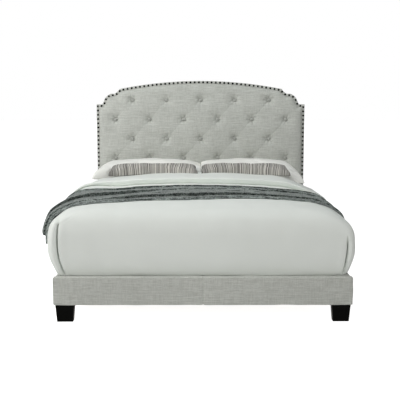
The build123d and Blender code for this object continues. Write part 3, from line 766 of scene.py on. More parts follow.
def button_places():
    """Where each button sits, as x and z, and its row."""
    places = []
    for row, count in enumerate(button_counts):
        first = -(count - 1) * button_column / 2
        height = button_top_height - row * button_row
        places += [(first + column * button_column, height, row) for column in range(count)]
    return np.array(places)


def crease_lines():
    """The folds from each button to the next row's and to the rim: start, end and share of the depth."""
    places = button_places()
    lines = []
    for x, z, row in places:
        outward = np.sign(x)
        for other_x, other_z, other_row in places:
            if other_row == row + 1 and abs(other_x - x) < button_column * 0.6:
                lines.append(((x, z), (other_x, other_z), 0.85 if other_x < x else 0.7))
        if row == 0:
            lines.append(((x, z), (x * 1.04, z + 0.15), 0.35))
        if row % 2 and abs(x) > button_column * 2:
            lines.append(((x, z), (x + 0.13 * outward, z - 0.008), 0.6))
        if row % 2 == 0 and abs(x) > button_column * 1.6:
            lines.append(((x, z), (x + 0.26 * outward, z - 0.012), 0.4))
    return lines


def crease_depth(points):
    """How deep the folds between the buttons press in, at each x and z."""
    deepest = np.zeros(len(points))
    for start, end, share in crease_lines():
        start, end = np.array(start), np.array(end)
        way = end - start
        run = np.clip((points - start) @ way / (way @ way), 0, 1)
        gap = np.linalg.norm(points - start - run[:, None] * way, axis=1)
        fade = 0.45 + 0.55 * np.abs(2 * run - 1) ** 1.5
        valley = valley_depth * hump(gap, valley_width) + fold_depth * np.exp(-gap / fold_width)
        deepest = np.maximum(deepest, share * fade * valley)
    return deepest


def pad_front_depth(points, rim):
    """How far behind the pad's foremost plane its cloth lies, at each x and z."""
    edge = edge_distance(points, rim)
    near = 1 - np.clip(edge / pad_fall, 0, 1)
    fall = pad_fall_depth * (1 - np.sqrt(1 - near ** 2))
    pressed = crease_depth(points)
    for index, (x, z, _) in enumerate(button_places()):
        offset = points - (x, z)
        gap = np.linalg.norm(offset, axis=1)
        near = 1 - np.clip((gap - button_hold) / hollow_reach, 0, 1)
        hollow = hollow_depth * (0.36 * near ** 2 + 0.64 * near ** 4.2)
        angle = np.arctan2(offset[:, 1], offset[:, 0])
        pucker = pucker_depth * np.cos(7 * angle + index * 2.4) * hump(gap - 0.030, 0.014)
        pressed = pressed * (1 - hump(gap, 0.03)) + hollow + pucker
    flat = np.column_stack([points, np.zeros(len(points))])
    waves = 0.0010 * swell(flat, 0.11, 5) + 0.0014 * swell(flat, 0.34, 6)
    return np.minimum(fall + pressed + waves * ease(edge, 0.0, 0.05) + 0.001, pad_deepest)


def make_headboard_pad():
    """The tufted pad, its front pressed in by the buttons and the folds between them."""
    mesh = remeshed("headboard_pad", pad_square)
    points = points_of(mesh)
    faces_front = points_of(mesh, "normal")[:, 1] < -0.25
    front = faces_front & (points[:, 1] < pad_low[1] + pad_front_reach)
    rim = outline_of("headboard_pad", pad_high[1])
    points[front, 1] = pad_low[1] + pad_front_depth(points[front][:, [0, 2]], rim)
    move_points(mesh, points)
    pad = place("headboard_cushion", mesh, "frame", "frame_cloth", "headboard_pad")


def make_headboard_border():
    """Cloth drawn over a thin pad round the outline."""
    outline = along(outline_of("headboard_back_cover", border_high[1] + 0.003), 0.009)
    front, back = border_low[1], border_high[1]
    profile = [(0.0035, back), (0.0, back - 0.006), (0.0, front + 0.030), (0.0004, front + 0.010),
               (0.002, front + 0.0045), (0.0055, front + 0.0012), (0.010, front), (0.016, front + 0.0003),
               (0.021, front + 0.0022), (0.027, front + 0.0052), (0.029, front + 0.009),
               (0.029, back - 0.004), (0.020, back)]
    rings = []
    for point, step in zip(outline, inset_path(outline)):
        rings.append([(point[0] + step[0] * inset, y, point[1] + step[1] * inset) for inset, y in profile])
    rings = np.array(rings)
    first_rippled, last_rippled = 3, 8
    ripple = 0.0006 * swell(rings[:, :last_rippled].reshape(-1, 3), 0.05, 12)
    rings[:, first_rippled:last_rippled, 1] += ripple.reshape(len(rings), last_rippled)[:, first_rippled:]
    rows, columns = rings.shape[:2]
    last = (rows - 1) * columns
    closing = [(last + i, last + (i + 1) % columns, (i + 1) % columns, i) for i in range(columns)]
    faces = list(grid_faces(rows, columns, closed=True)) + closing
    border = add_piece("headboard_border", rings.reshape(-1, 3), faces, "frame", "frame_cloth",
                       "headboard_border_cover")


def make_headboard_apron():
    """Cloth over the boards below the tufted pad."""
    low = (border_low[0] + 0.024, border_low[1] + 0.003, border_low[2] + 0.024)
    high = (border_high[0] - 0.024, border_low[1] + 0.017, pad_low[2] + 0.02)
    points, outward, faces = padded_block(low, high, 0.004, 0.03)
    points[:, 1] -= 0.0016 * (outward[:, 1] < -0.9) * (1 + swell(points, 0.3, 9)) / 2
    apron = add_piece("headboard_apron", points, faces, "frame", "frame_cloth")


def height_above(path, x):
    """The highest point of a closed path at x."""
    best = path[:, 1].min()
    for (x0, z0), (x1, z1) in zip(path, np.roll(path, -1, axis=0)):
        if min(x0, x1) - 1e-6 <= x <= max(x0, x1) + 1e-6:
            upright = abs(x1 - x0) < 1e-9
            here = max(z0, z1) if upright else z0 + np.clip((x - x0) / (x1 - x0), 0, 1) * (z1 - z0)
            best = max(best, here)
    return best


def make_staples(rim, back):
    """Staples all along the dust cloth's edge."""
    pitch, inset, half_length, half_wire = 0.055, 0.011, 0.0055, 0.0006
    sides = ((0, 1, 3, 2), (4, 6, 7, 5), (0, 4, 5, 1), (2, 3, 7, 6), (0, 2, 6, 4), (1, 5, 7, 3))
    path = along(rim, pitch)
    corners, faces = [], []
    for point, inward in zip(path, inset_path(path)):
        side = unit(np.array([-inward[1], inward[0]]))
        faces += [[len(corners) + corner for corner in face] for face in sides]
        for along_side in (-half_length, half_length):
            for across in (-half_wire, half_wire):
                x, z = point + inward * (inset + across) + side * along_side
                corners += [(x, back - 0.0008, z), (x, back + 0.0001, z)]
    pins = add_piece("dust_cloth_staples", corners, faces, "frame", "zinc_steel")
    pins.data.shade_flat()
    return pins


def make_dust_cloth():
    """Black cloth stapled over the headboard's back, a little slack between its staples."""
    low, high = box_of("headboard_back_cover")
    back, inset = high[1], 0.0008
    rim = outline_of("headboard_back_cover", back)
    xs = np.unique(np.round(np.concatenate([np.linspace(low[0], high[0], 140), rim[:, 0]]), 4))
    xs = np.clip(xs, low[0] + inset, high[0] - inset)
    heights = np.array([np.linspace(low[2] + inset, height_above(rim, x) - inset, 96) for x in xs])
    flat = np.stack([np.broadcast_to(xs[:, None], heights.shape), heights], axis=-1).reshape(-1, 2)
    spots = np.insert(flat, 1, back, axis=1)
    slack = (0.5 + 0.5 * swell(spots, 0.16, 31)) * ease(edge_distance(flat, rim), 0.008, 0.06)
    layers = []
    for depth in (0.0007, 0.0021):
        inwards = np.column_stack([0 * slack, depth + 0.0008 * slack, 0 * slack])
        layers.append((spots - inwards).reshape(*heights.shape, 3))
    points, faces = sewn(*layers)
    cloth = add_piece("headboard_dust_cloth", points, faces, "frame", "dust_cloth", "headboard_back_cover")
    tidy(cloth.data, 0.00002)
    pins = make_staples(rim, back)


# Base: footboard and side rails

def make_footboard():
    """Cloth over a thin pad, in two halves that meet at a seam in the middle."""
    half_seam = [0.0015, 0.003, 0.005, 0.008, 0.012, 0.018, 0.028, 0.045]
    seam = [-x for x in half_seam] + [0] + half_seam
    points, outward, faces = padded_block(foot_low, foot_high, 0.0075, 0.012, (seam, (), ()))
    off_seam, z = np.abs(points[:, 0]), points[:, 2]
    from_end = foot_high[0] - off_seam
    front, top, side = outward[:, 1] < -0.7, outward[:, 2] > 0.7, np.abs(outward[:, 0]) > 0.7
    ends = ease(from_end, 0, 0.05)
    swelling = ease(z, foot_low[2], foot_low[2] + 0.04) * ease(foot_high[2] - z, 0, 0.04)
    depth = front * 0.0022 * swelling * ends + top * 0.002 * ends + side * 0.0030
    depth += 0.0008 * swell(points, 0.09, 21) + 0.0007 * swell(points, 0.3, 22) * ends
    pucker = 0.0005 * np.sin(z * 2 * pi / 0.012) * hump(off_seam - 0.009, 0.006)
    depth -= 0.0030 * np.exp(-off_seam / 0.0025) + 0.0016 * hump(off_seam, 0.014) + pucker
    corner = hump(from_end, 0.03) * ease(z, foot_high[2] - 0.06, foot_high[2])
    depth += 0.0012 * corner * swell(points, 0.02, 23)
    points += outward * np.minimum(depth, 0.004)[:, None]
    board = add_piece("footboard_padding", points, faces, "frame", "frame_cloth", "footboard_cover")


def make_seam_stitches():
    """Short stitches that hold the footboard's seam flat, on its face and over its top."""
    length, pitch, thick, off_seam = 0.0042, 0.0060, 0.0005, 0.0042
    front, top = foot_low[1] - 0.0001, foot_high[2] + 0.0003
    spots = [(front, z, True) for z in np.arange(foot_low[2] + 0.016, foot_high[2] - 0.014, pitch)]
    spots += [(y, top, False) for y in np.arange(foot_low[1] + 0.016, foot_high[1] - 0.01, pitch)]
    points, faces = [], []
    for side in (-off_seam, off_seam):
        for y, z, upright in spots:
            faces += [[len(points) + i for i in face] for face in grid_faces(4, 4, closed=True)]
            for share in (0, 0.25, 0.75, 1):
                lift = thick * (1.0 if 0 < share < 1 else -0.6)
                for turn in range(4):
                    x = side + thick * cos(turn * pi / 2)
                    out = thick * sin(turn * pi / 2) + lift
                    run = share * length
                    points.append((x, y - out, z + run) if upright else (x, y + run, z + out))
    add_piece("footboard_stitches", points, faces, "frame", "duvet_cotton")


def make_rails():
    """Cloth over a thin pad along each side."""
    for side, sign in (("left", -1), ("right", 1)):
        node = f"side_rail_cover_{side}"
        low, high = box_of(node)
        points, outward, faces = padded_block(low, high, 0.0125, 0.014)
        outside = outward[:, 0] * sign > 0.7
        middle = ease(points[:, 2] - low[2], 0, 0.04) * ease(high[2] - points[:, 2], 0, 0.04)
        depth = outside * 0.002 * middle + 0.0008 * (swell(points, 0.10, 25) + swell(points, 0.4, 26))
        points += outward * depth[:, None]
        rail = add_piece(f"side_rail_padding_{side}", points, faces, "frame", "frame_cloth", node)


# Foundation and mattress

def make_foundation():
    """Cloth stretched over the foundation's boards."""
    points, outward, faces = padded_block(*box_of("foundation_cover"), 0.03, 0.04)
    side = np.abs(outward[:, 2]) < 0.5
    slack = 0.0015 * (1 + swell(points, 0.25, 41)) - 0.0006 * swell(points, 0.03, 42)
    points -= outward * (slack * side)[:, None]
    cover = add_piece("foundation_cloth", points, faces, "foundation", "foundation_cloth",
                      "foundation_cover")


def rounded_loop(low, high, radius, step):
    """The points of a rectangle with round corners, with their outward directions, as x and y."""
    corners = [(high[0] - radius, high[1] - radius), (low[0] + radius, high[1] - radius),
               (low[0] + radius, low[1] + radius), (high[0] - radius, low[1] + radius)]
    points, outward = [], []
    for quarter, corner in enumerate(corners):
        for share in np.linspace(0, 1, 9):
            angle = (quarter + share) * pi / 2
            outward.append(np.array([cos(angle), sin(angle)]))
            points.append(corner + radius * outward[-1])
    made, ways = [], []
    for point, onward, way in zip(points, points[1:] + points[:1], outward):
        count = max(1, round(np.linalg.norm(onward - point) / step))
        made += [point + (onward - point) * share / count for share in range(count)]
        ways += [way] * count
    return np.array(made), np.array(ways)


def make_mattress():
    """Quilted mattress with a soft top."""
    low, high = mattress_low, mattress_high
    points, outward, faces = padded_block(low, high, 0.045, 0.024)
    depth = 0.0012 * swell(points, 0.09, 51) + 0.001 * swell(points, 0.3, 52) - 0.0022
    side = np.abs(outward[:, 2]) < 0.4
    depth -= side * 0.0035 * hump(points[:, 2] - (low[2] + high[2]) / 2, 0.05)
    points += outward * depth[:, None]
    body = add_piece("mattress_body", points, faces, "mattress", "mattress_cloth", "mattress")


def make_mattress_tapes():
    """The sewn tape round the mattress's bottom edge and its top edge."""
    inset, half_width, half_height, sunk = 0.030, 0.0055, 0.0065, 0.0058
    loop, ways = rounded_loop(mattress_low, mattress_high, 0.06, 0.03)
    turns = np.arange(8) * pi / 4
    spots = loop[:, None] + ways[:, None] * (half_width * np.cos(turns) - sunk)[:, None]
    for label, z in (("bottom", mattress_low[2] + inset), ("top", mattress_high[2] - inset)):
        heights = np.broadcast_to(z + half_height * np.sin(turns), spots.shape[:2])
        rings = np.concatenate([spots, heights[..., None]], axis=2)
        rings = np.concatenate([rings, rings[:1]])
        faces = grid_faces(len(rings), len(turns), closed=True)
        tape = add_piece(f"mattress_tape_{label}", rings.reshape(-1, 3), faces, "mattress", "pillow_cotton")


# Duvet

def steps_between(values, amount):
    """The values as a smooth run with this many points."""
    values = np.array(values, float)
    spots = np.linspace(0, len(values) - 1, amount)
    low = np.clip(spots.astype(int), 0, len(values) - 2)
    share = spots - low
    longer = np.concatenate([[2 * values[0] - values[1]], values, [2 * values[-1] - values[-2]]])
    a, b, c, d = (longer[low + i] for i in range(4))
    return b + share / 2 * (c - a + share * (2 * a - 5 * b + 4 * c - d + share * (3 * (b - c) + d - a)))


def duvet_rings(amount):
    """Height, half width, front, corner radius and lean to the left, from hem to crown."""
    hem = duvet_low[2]
    height = hem + (duvet_crown - hem) * steps_between(duvet_heights, amount)
    half = mattress_high[0] + steps_between(duvet_sides, amount)
    front = mattress_low[1] - steps_between(duvet_fronts, amount)
    lean = duvet_lean * steps_between(duvet_leans, amount)
    return height, half, front, steps_between(duvet_corners, amount), lean


def duvet_ring(half, front, corner, slits):
    """One level of the duvet's outside: up the right side, across the front, down the left side."""
    side_count, front_count, turns = 64, 110, 9
    right, left = slits
    inner = half - corner
    side = np.linspace(duvet_end, front + corner, side_count)
    angles = np.linspace(0, pi / 2, turns + 1)
    over, along_it = corner * np.sin(angles), corner * np.cos(angles)
    right_turn = np.column_stack([inner + along_it, front + corner - over])
    left_turn = np.column_stack([-inner - over, front + corner - along_it])
    near = np.sort(np.minimum(right - slit_steps, inner - 0.0005))[::-1]
    far = np.sort(np.maximum(-left + slit_steps, -inner + 0.0005))[::-1]
    across = np.concatenate([near, np.linspace(near[-1], far[0], front_count)[1:-1], far])
    return np.concatenate([
        np.column_stack([np.full(side_count, half), side]), right_turn[1:],
        np.column_stack([across, np.full(len(across), front)]), left_turn[:-1],
        np.column_stack([np.full(side_count, -half), side[::-1]])])


def duvet_outward(grid):
    """Which way the duvet's outside faces at each point of its grid."""
    inner_spot, flattening = (0, -0.2, 0.45), (1, 0.3, 1)
    flat = grid.reshape(-1, 3)
    normal = np.cross(np.gradient(grid, axis=1), np.gradient(grid, axis=0)).reshape(-1, 3)
    normal[np.linalg.norm(normal, axis=1) < 1e-9] = (0, 0, 1)
    normal = unit(normal)
    normal[np.sum(normal * (flat - inner_spot) * flattening, axis=1) < 0] *= -1
    normal[np.abs(flat[:, 2] - duvet_crown) < 1e-4] = (0, 0, 1)
    return normal


def duvet_swell(flat, height, right, left):
    """How far each point of the duvet's outside stands out from its plain form."""
    x, y, z = flat.T
    top = ease(z, 0.56, 0.65)
    depth = 0.0035 * swell(flat * (1, 0.8, 1), 0.55, 61) * (1 - 0.3 * top)
    depth += 0.0014 * swell(flat, 0.16, 62)
    shoulder = ease(-x, 0.50, 0.78) * ease(y, -0.80, -0.25) * (1 - 0.8 * ease(y, 0.0, 0.30))
    depth += 0.036 * shoulder * hump(z - 0.575, 0.085)
    depth -= 0.022 * ease(x, 0.52, 0.72) * ease(y, -0.30, 0.0) * hump(z - 0.610, 0.050)
    side = ease(np.abs(x), 0.72, 0.80) * (1 - top) * ease(y, -0.98, -0.85)
    folds = np.sin(y * 2 * pi / 0.31 + 1.4 * np.sin(y * 5.1) + np.sign(x) * 0.8)
    depth += side * 0.009 * folds * ease(-z, -0.60, -0.30)
    front = ease(-y, 1.02, 1.05) * (1 - top)
    drape = np.sin(x * 2 * pi / 0.63 + 1.1 * np.sin(x * 3.3 + 0.5))
    depth += front * 0.0022 * drape * ease(-z, -0.5, -0.26)
    on_front = ease(-y, 1.0, 1.045)
    for slit, sign, top_end in ((right, 1, 0.47), (left, -1, 0.575)):
        gap = x * sign - np.interp(z, height, slit)
        fade = on_front * ease(top_end - z, -0.015, 0.07)
        depth -= fade * (slit_depth * hump(gap, slit_width) + 0.004 * hump(gap, 0.010))
        depth += fade * (0.005 * hump(gap - 0.020, 0.012) + 0.002 * hump(gap + 0.024, 0.016))
        crinkle = on_front * hump(gap + 0.05, 0.045) * hump(z - top_end, 0.05)
        depth += 0.0007 * crinkle * np.sin((x * sign * 0.7 + z) * 2 * pi / 0.021)
    return depth * ease(z, height[0] - 0.001, height[0] + 0.02)


def make_duvet():
    """Thick duvet over the foot end, with slits at its front corners; returns the grid of its outside."""
    amount, crown_steps = 84, 26
    height, half, front, corner, lean = duvet_rings(amount)
    right, left = steps_between(slit_right, amount), steps_between(slit_left, amount)
    outer = []
    for z, h, y, r, x_lean, x_right, x_left in zip(height, half, front, corner, lean, right, left):
        limit = max(h - r - 0.012, 0.05)
        ring = duvet_ring(h, y, r, (min(x_right + x_lean, limit), min(x_left - x_lean, limit)))
        outer.append(np.column_stack([ring, np.full(len(ring), z)]))
    for share in np.linspace(0, 1, crown_steps)[1:]:
        ring = outer[amount - 1] * (1 - share, 1, 1)
        ring[:, 1] = np.maximum(ring[:, 1], front[-1] + half[-1] * share)
        outer.append(ring)
    outer = np.array(outer)
    outer[:amount, :, 0] -= lean[:, None]
    outer[amount:, :, 0] -= lean[-1]
    flat = outer.reshape(-1, 3)
    outside = flat + duvet_outward(outer) * duvet_swell(flat, height, right, left)[:, None]
    inside = np.column_stack([
        np.clip(outside[:, 0], -mattress_high[0] - duvet_lining, mattress_high[0] + duvet_lining),
        np.maximum(outside[:, 1], mattress_low[1] - duvet_lining),
        np.minimum(outside[:, 2] - 0.004, mattress_high[2] + 0.0004)])
    points, faces = sewn(outside.reshape(outer.shape), inside.reshape(outer.shape), edges=3)
    duvet = add_piece("duvet_quilt", points, faces, "duvet", "duvet_cotton", "duvet")
    tidy(duvet.data, 0.0002)
    return outside.reshape(outer.shape)


def across_line(count):
    """The duvet's cross section from the left hem over the top to the right hem: points and directions."""
    height, half, _, _, lean = duvet_rings(240)
    xs = np.concatenate([-half - lean, (half - lean)[::-1]])
    line = np.column_stack([xs, np.concatenate([height, height[::-1]])])
    steps = np.concatenate([[0], np.cumsum(np.linalg.norm(np.diff(line, axis=0), axis=1))])
    spots = np.linspace(0, steps[-1], count)
    line = np.column_stack([np.interp(spots, steps, line[:, i]) for i in range(2)])
    way = unit(np.gradient(line, axis=0))
    return line, np.column_stack([-way[:, 1], way[:, 0]]), spots - steps[-1] / 2


def surface_of(outside):
    """The duvet's outside, to lay other pieces on."""
    points = [Vector(point) for point in outside.reshape(-1, 3)]
    faces = [tuple(int(i) for i in face) for face in grid_faces(*outside.shape[:2])]
    return BVHTree.FromPolygons(points, faces)


def spot_on(surface, x, y, z, nx, nz):
    """Where the duvet's surface lies at this place of its cross section, and which way it faces."""
    base, way = Vector((x, y, z)), Vector((nx, 0, nz))
    hit, normal, _, _ = surface.ray_cast(base + way * 0.12, -way, 0.3)
    if hit is None:
        return base, way
    return hit, -normal if normal.dot(way) < 0 else normal


def make_turnback(surface):
    """The duvet's end folded back over itself in a thick soft band, thinner towards its hems."""
    line, outward, run = across_line(420)
    keep = line[:, 1] > duvet_crown - turnback_drop
    line, outward, run = line[keep], outward[keep], run[keep]
    middle, length = (turnback_start + duvet_end) / 2, duvet_end - turnback_start
    turns = np.linspace(0, pi, 44)
    over = np.sign(np.cos(turns)) * np.abs(np.cos(turns)) ** 0.10
    under = np.array([-0.6, -0.2, 0.2, 0.6])
    from_hem = np.minimum(np.arange(len(line)), len(line) - 1 - np.arange(len(line))) / 10
    full = np.sqrt(np.clip(1 - (1 - np.minimum(from_hem, 1)) ** 2, 0.05, 1))
    full *= 1 - turnback_thinning * ease(np.abs(run), 0.50, 0.82) * np.where(run > 0, 0.6, 1)
    wander = 0.010 * np.sin(run * 4.1 + 0.4) + 0.004 * np.sin(run * 11)
    places = np.concatenate([over, under])
    height = np.concatenate([np.sin(turns), np.zeros(len(under))])
    y = middle - places * length / 2 - wander[:, None] * np.maximum(0, places)
    y += turnback_undercut * np.clip(1 - height ** 0.32, 0, 1) * (places > 0)
    x, z = (np.broadcast_to(line[:, i:i + 1], y.shape) for i in range(2))
    spots = np.stack([x, y, z], axis=2)
    flat = spots.reshape(-1, 3)
    waves = 0.0030 * swell(flat * (0.7, 1.6, 1), 0.30, 71) + 0.0012 * swell(flat, 0.10, 72)
    rise = turnback_thick + turnback_puff * places - 0.004 * hump(places + 0.15, 0.35)
    up = full[:, None] * rise * height ** 0.32 + waves.reshape(y.shape) * height
    up[:, len(turns):] = -0.002
    base = np.array([[spot_on(surface, x, y_at, z, *way)[0] for y_at in row]
                     for (x, z), way, row in zip(line, outward, y)])
    way = np.stack([outward[:, 0], np.zeros(len(line)), outward[:, 1]], axis=1)
    points, faces = tube(base + way[:, None] * up[..., None])
    band = add_piece("duvet_turnback", points, faces, "duvet", "duvet_cotton")
    tidy(band.data, 0.0001)


# Throw

def throw_shape(u, v):
    """The throw's folds: how high each point lies, and how far its pleat hangs over towards the foot."""
    height, over = np.full(u.shape, 0.0005), np.zeros(u.shape)
    for index, (tall, hang, front, back, places, strengths) in enumerate(throw_folds):
        path = np.interp(u, throw_runs, places) + 0.010 * np.sin(u * 7.3 + index * 2.1)
        strength = np.interp(u, throw_runs, strengths) * (0.85 + 0.15 * np.sin(u * 5.7 + index * 2.6))
        away = v - path
        before = away < 0
        pleat = np.where(before, np.exp(-np.abs(away / front) ** 2.2), np.exp(-np.abs(away / back) ** 1.5))
        height = np.maximum(height, tall * strength * pleat)
        over = np.maximum(over, hang * strength * hump(away, np.where(before, front, 0.09)))
    return height, over


def make_throw(surface):
    """Knitted throw across the foot end, gathered into folds, its left end loose and flared."""
    line, outward, run = across_line(700)
    columns, rows = 300, 170
    half = len(line) // 2
    v = np.broadcast_to(np.linspace(0, 1, rows), (columns, rows))
    left = np.interp(throw_hem_left + 0.055 * hump(v[0] - 0.33, 0.20), line[:half, 1], run[:half])
    right = -np.interp(throw_hem_right, line[:half, 1], run[:half])
    u = left + (right - left) * np.linspace(0, 1, columns)[:, None]
    near = throw_low[1] + 0.030 + 0.042 * np.clip(u / 0.45, -1, 1)
    near += 0.006 * np.sin(u * 5.2 + 0.7) + 0.004 * np.sin(u * 13.0)
    far = throw_high[1] + 0.010 * np.sin(u * 4.1 + 2.0) + 0.006 * np.sin(u * 11.0)
    y = near + (far - near) * v
    x, z, nx, nz = (np.interp(u, run, values) for values in (*line.T, *outward.T))
    found = [spot_on(surface, *spot) for spot in zip(*(values.ravel() for values in (x, y, z, nx, nz)))]
    base = np.array([spot for spot, _ in found]).reshape(columns, rows, 3)
    normal = np.array([way for _, way in found]).reshape(columns, rows, 3)
    loose = ease(-u, throw_loose_from, throw_loose_to)
    from_edge = np.minimum(v, 1 - v)
    fold, over = throw_shape(u, v)
    fold, over = (values * ease(from_edge, 0.0, 0.025) for values in (fold * (1 - 0.35 * loose), over))
    thick = throw_cloth * (0.45 + 0.55 * ease(from_edge, 0.0, 0.03))
    upper = base + normal * (throw_rest + thick + fold)[..., None]
    upper[..., 0] -= loose * (0.004 + throw_flare * hump(v - 0.34, 0.26) + 0.006 * np.sin(v * 17 + 1))
    upper[..., 1] -= over
    facing = unit(np.cross(np.gradient(upper, axis=0), np.gradient(upper, axis=1)))
    facing *= np.sign(np.sum(facing * normal, axis=2).mean())
    points, faces = sewn(upper, upper - facing * thick[..., None])
    throw = add_piece("throw_knitted", points, faces, "throw", "throw_knit", "throw")
    tidy(throw.data, 0.00005)


# Pillows

def pillow_blank(width, depth, thick, step):
    """Two flat cloths sewn round the edge and lightly stuffed."""
    across = np.linspace(-1, 1, int(width / step) + 1)
    along_it = np.linspace(-1, 1, int(depth / step) + 1)
    a, b = np.meshgrid(across, along_it, indexing="ij")
    stuffing = thick / 2 * ((1 - a ** 4) * (1 - b ** 4)) ** 0.6
    layers = [np.stack([a * width / 2, b * depth / 2, sign * stuffing], axis=-1) for sign in (1, -1)]
    return sewn(*layers, edges=0)


def blow_up(mesh, frames, pressure):
    """A new mesh of the cloth after this many frames of air pressing from inside."""
    work = linked("work", mesh)
    cloth = work.modifiers.new("cloth", "CLOTH")
    cloth.settings.quality = 5
    cloth.settings.mass = 0.2
    cloth.settings.tension_stiffness = 12
    cloth.settings.compression_stiffness = 8
    cloth.settings.bending_stiffness = 0.3
    cloth.settings.effector_weights.gravity = 0
    cloth.settings.use_pressure = True
    cloth.settings.uniform_pressure_force = pressure
    cloth.collision_settings.use_collision = False
    cloth.point_cache.frame_start = 1
    cloth.point_cache.frame_end = frames
    scene = bpy.context.scene
    for step_at in range(1, frames + 1):
        scene.frame_set(step_at)
    made = settle(work)
    bpy.data.objects.remove(work)
    scene.frame_set(1)
    return made


def stuffed(name, width, depth, thick, step, seed):
    """A pillow blown up as cloth, each point marked with its place across the flat cloth."""
    points, faces = pillow_blank(width, depth, thick, step)
    mesh = bpy.data.meshes.new(name)
    mesh.from_pydata(points.tolist(), [], [tuple(int(i) for i in face) for face in faces])
    tidy(mesh, 0.0001)
    start = points_of(mesh)
    start[:, 2] += 0.0015 * swell(start, 0.06, seed)
    move_points(mesh, start)
    across = mesh.attributes.new(weave_label, "FLOAT", "POINT")
    across.data.foreach_set("value", start[:, 0].astype(np.float32))
    return blow_up(mesh, frames=22, pressure=3.2)


def fit_pillow(mesh, size, crown, under, seed):
    """A blown-up pillow's points at its real size: crowned above its seam, nearly flat beneath."""
    points = points_of(mesh)
    low, high = points.min(axis=0), points.max(axis=0)
    points -= (low + high) / 2
    points[:, :2] *= np.array(size) / (high - low)[:2]
    up = points[:, 2] > 0
    points[up, 2] = crown * np.sqrt(points[up, 2] / points[:, 2].max())
    points[~up, 2] *= under / -points[:, 2].min()
    points[:, 2] += 0.0025 * swell(points, 0.12, seed) * ease(np.abs(points[:, 2]), 0.004, 0.03)
    return points


def ease_creases(mesh, turns):
    """Smooths the sharpest creases of a blown-up cloth."""
    work = bmesh.new()
    work.from_mesh(mesh)
    axes = {"use_axis_x": True, "use_axis_y": True, "use_axis_z": True}
    for _ in range(turns):
        bmesh.ops.smooth_vert(work, verts=work.verts, factor=0.5, **axes)
    work.to_mesh(mesh)
    work.free()
    mesh.update()


def press_together(points, sign, end):
    """Draws a pillow's inner end out and presses it flat at the middle of the bed."""
    outer = points[:, 0] * sign
    half = (outer.max() - outer.min()) / 2
    share = ease(outer.min() + half - outer, 0, half)
    points[:, 0] = sign * np.maximum(outer - pillow_press * share, end)


def place_pillow(name, mesh, node, slot):
    """The pillow in its node's place, with one level of subdivision so that its cloth bends smoothly."""
    piece = place(name, mesh, node, slot, node)
    smooth = piece.modifiers.new("smooth_cloth", "SUBSURF")
    smooth.levels = 1
    smooth.render_levels = 1


def make_white_pillow(side, sign, mesh):
    """A white pillow, its outer corners turned up a little on the left and down on the right."""
    node = f"pillow_{side}"
    low, high = box_of(node)
    size = high - low
    overhang, crown = 1.07, size[2] - pillow_seam_height
    points = fit_pillow(mesh, size[:2] * (overhang, 1), crown, 0.024, 83 + sign)
    if sign > 0:
        points[:, 0] *= -1
    middle = (low + high) / 2
    points += (middle[0], middle[1], low[2] + pillow_seam_height)
    corners = ease(points[:, 0] * sign, 0.60, 0.79) * ease(np.abs(points[:, 1] - 0.74), 0.05, 0.24)
    points[:, 2] += (0.010 if sign < 0 else -0.034) * corners
    press_together(points, sign, 0.002)
    points[:, 2] = np.maximum(points[:, 2], low[2] + 0.0002)
    move_points(mesh, points)
    tidy(mesh, 0.00001)
    place_pillow(f"pillow_white_{side}", mesh, node, "pillow_cotton")


def make_striped_pillow(side, sign, mesh):
    """A small striped pillow, leaning back on the white one's front."""
    node = f"accent_pillow_{side}"
    low, high = box_of(node)
    middle = (low + high) / 2
    for point in mesh.attributes[weave_label].data:
        point.value += middle[0]
    points = fit_pillow(mesh, (0.655, 0.262), 0.064, 0.016, 93 + sign)
    points[:, 2] += 0.010 * ease(points[:, 0] * sign, 0.0, 0.25) * ease(points[:, 2], 0.0, 0.03)
    tilt, droop = radians(5), radians(1.4 * sign)
    back = np.array([[1, 0, 0], [0, cos(tilt), -sin(tilt)], [0, sin(tilt), cos(tilt)]])
    down = np.array([[cos(droop), 0, sin(droop)], [0, 1, 0], [-sin(droop), 0, cos(droop)]])
    points = points @ back.T @ down.T
    points[:, :2] += (middle - (points.min(axis=0) + points.max(axis=0)) / 2)[:2]
    points[:, 2] += low[2] - points[:, 2].min()
    move_points(mesh, points)
    tidy(mesh, 0.00001)
    ease_creases(mesh, 4)
    place_pillow(f"accent_striped_{side}", mesh, node, "accent_stripe")


def make_pillows():
    """Two white pillows, and a striped one leaning on the front of each."""
    white = stuffed("pillow_blank", 0.80, 0.56, 0.05, 0.0125, 81)
    striped = stuffed("accent_blank", 0.68, 0.30, 0.03, 0.0100, 82)
    for side, sign in (("left", -1), ("right", 1)):
        make_white_pillow(side, sign, white.copy())
        make_striped_pillow(side, sign, striped.copy())


# Room, light and camera

def seen_share(tree):
    """1 for what the camera sees straight, in a mirror or through glass, and 0 for what only gets light."""
    seen = add(tree, "LightPath").outputs
    mirrored = maths(tree, "ADD", seen["Is Glossy Ray"], seen["Is Transmission Ray"])
    return maths(tree, "MINIMUM", 1.0, maths(tree, "ADD", seen["Is Camera Ray"], mirrored))


def make_floor():
    """A wide pale floor that shows nearly white and keeps the bed's shadow."""
    reach, paint_level, glow = 30.0, 0.86, 0.93
    mesh = bpy.data.meshes.new("studio_floor")
    corners = [(-reach, -reach, 0), (reach, -reach, 0), (reach, reach, 0), (-reach, reach, 0)]
    mesh.from_pydata(corners, [], [(0, 1, 2, 3)])
    floor = linked("studio_floor", mesh)
    material, tree, shader = new_finish("floor_paint", 0.9)
    shader.inputs["Base Color"].default_value = (paint_level, paint_level, paint_level, 1)
    shader.inputs["Emission Color"].default_value = (1, 1, 1, 1)
    join(tree, times(tree, seen_share(tree), glow), shader.inputs["Emission Strength"])
    mesh.materials.append(material)


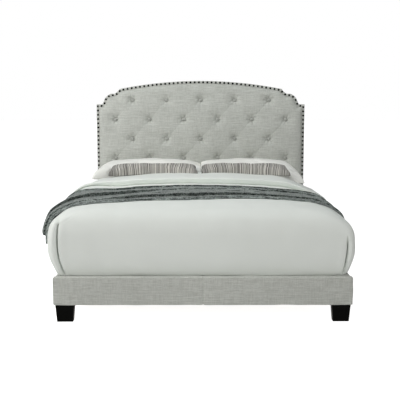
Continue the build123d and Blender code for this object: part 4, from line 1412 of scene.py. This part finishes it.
def make_world():
    """A faint even light that shows white behind the bed."""
    light, shown = 0.15, 1.0
    world = bpy.data.worlds.new("studio")
    bpy.context.scene.world = world
    world.use_nodes = True
    tree = world.node_tree
    back = tree.nodes["Background"]
    back.inputs["Color"].default_value = (1, 1, 1, 1)
    strength = maths(tree, "MULTIPLY_ADD", seen_share(tree), shown - light, light)
    join(tree, strength, back.inputs["Strength"])


def make_lights():
    """Soft square lamps: name, place, aim, size, power and colour."""
    lamps = (
        ("key_lamp", (-4.6, -3.4, 3.6), (0, 0, 0.7), 1.9, 18, (1.0, 0.99, 0.97)),
        ("side_lamp", (-3.6, -1.2, 2.4), (0, 1, 0.9), 1.0, 60, (1.0, 0.99, 0.98)),
        ("front_lamp", (-1.2, -6.0, 3.0), (0, 0, 0.7), 2.0, 74, (1.0, 0.99, 0.97)),
        ("top_lamp", (0.0, -0.7, 3.3), (0, 0.4, 0.6), 1.6, 26, (0.94, 0.985, 1.0)),
        ("fill_lamp", (4.2, -4.5, 2.6), (0, 0, 0.6), 3.0, 34, (1.0, 0.98, 0.95)),
    )
    for name, spot, aim, size, power, colour in lamps:
        data = bpy.data.lights.new(name, "AREA")
        data.shape = "SQUARE"
        data.size = size
        data.energy = power
        data.color = colour
        lamp = linked(name, data)
        lamp.location = spot
        lamp.rotation_euler = (Vector(aim) - Vector(spot)).to_track_quat("-Z", "Y").to_euler()


def make_camera():
    """The photograph's own view, from its place and lens."""
    photo_width, focal_pixels = 400, 823.8
    data = bpy.data.cameras.new("camera")
    data.sensor_width = 36
    data.lens = focal_pixels / photo_width * data.sensor_width
    camera = linked("camera", data)
    camera.location = (-0.042, -5.547, 1.264)
    camera.rotation_euler = (radians(82.5), 0, radians(-0.321))
    bpy.context.scene.camera = camera
    bpy.context.scene.view_settings.view_transform = "Standard"


finish_cad_nodes()
make_headboard_pad()
make_headboard_border()
make_headboard_apron()
make_dust_cloth()
make_footboard()
make_seam_stitches()
make_rails()
make_foundation()
make_mattress()
make_mattress_tapes()
duvet_surface = surface_of(make_duvet())
make_turnback(duvet_surface)
make_throw(duvet_surface)
make_pillows()
make_floor()
make_world()
make_lights()
make_camera()
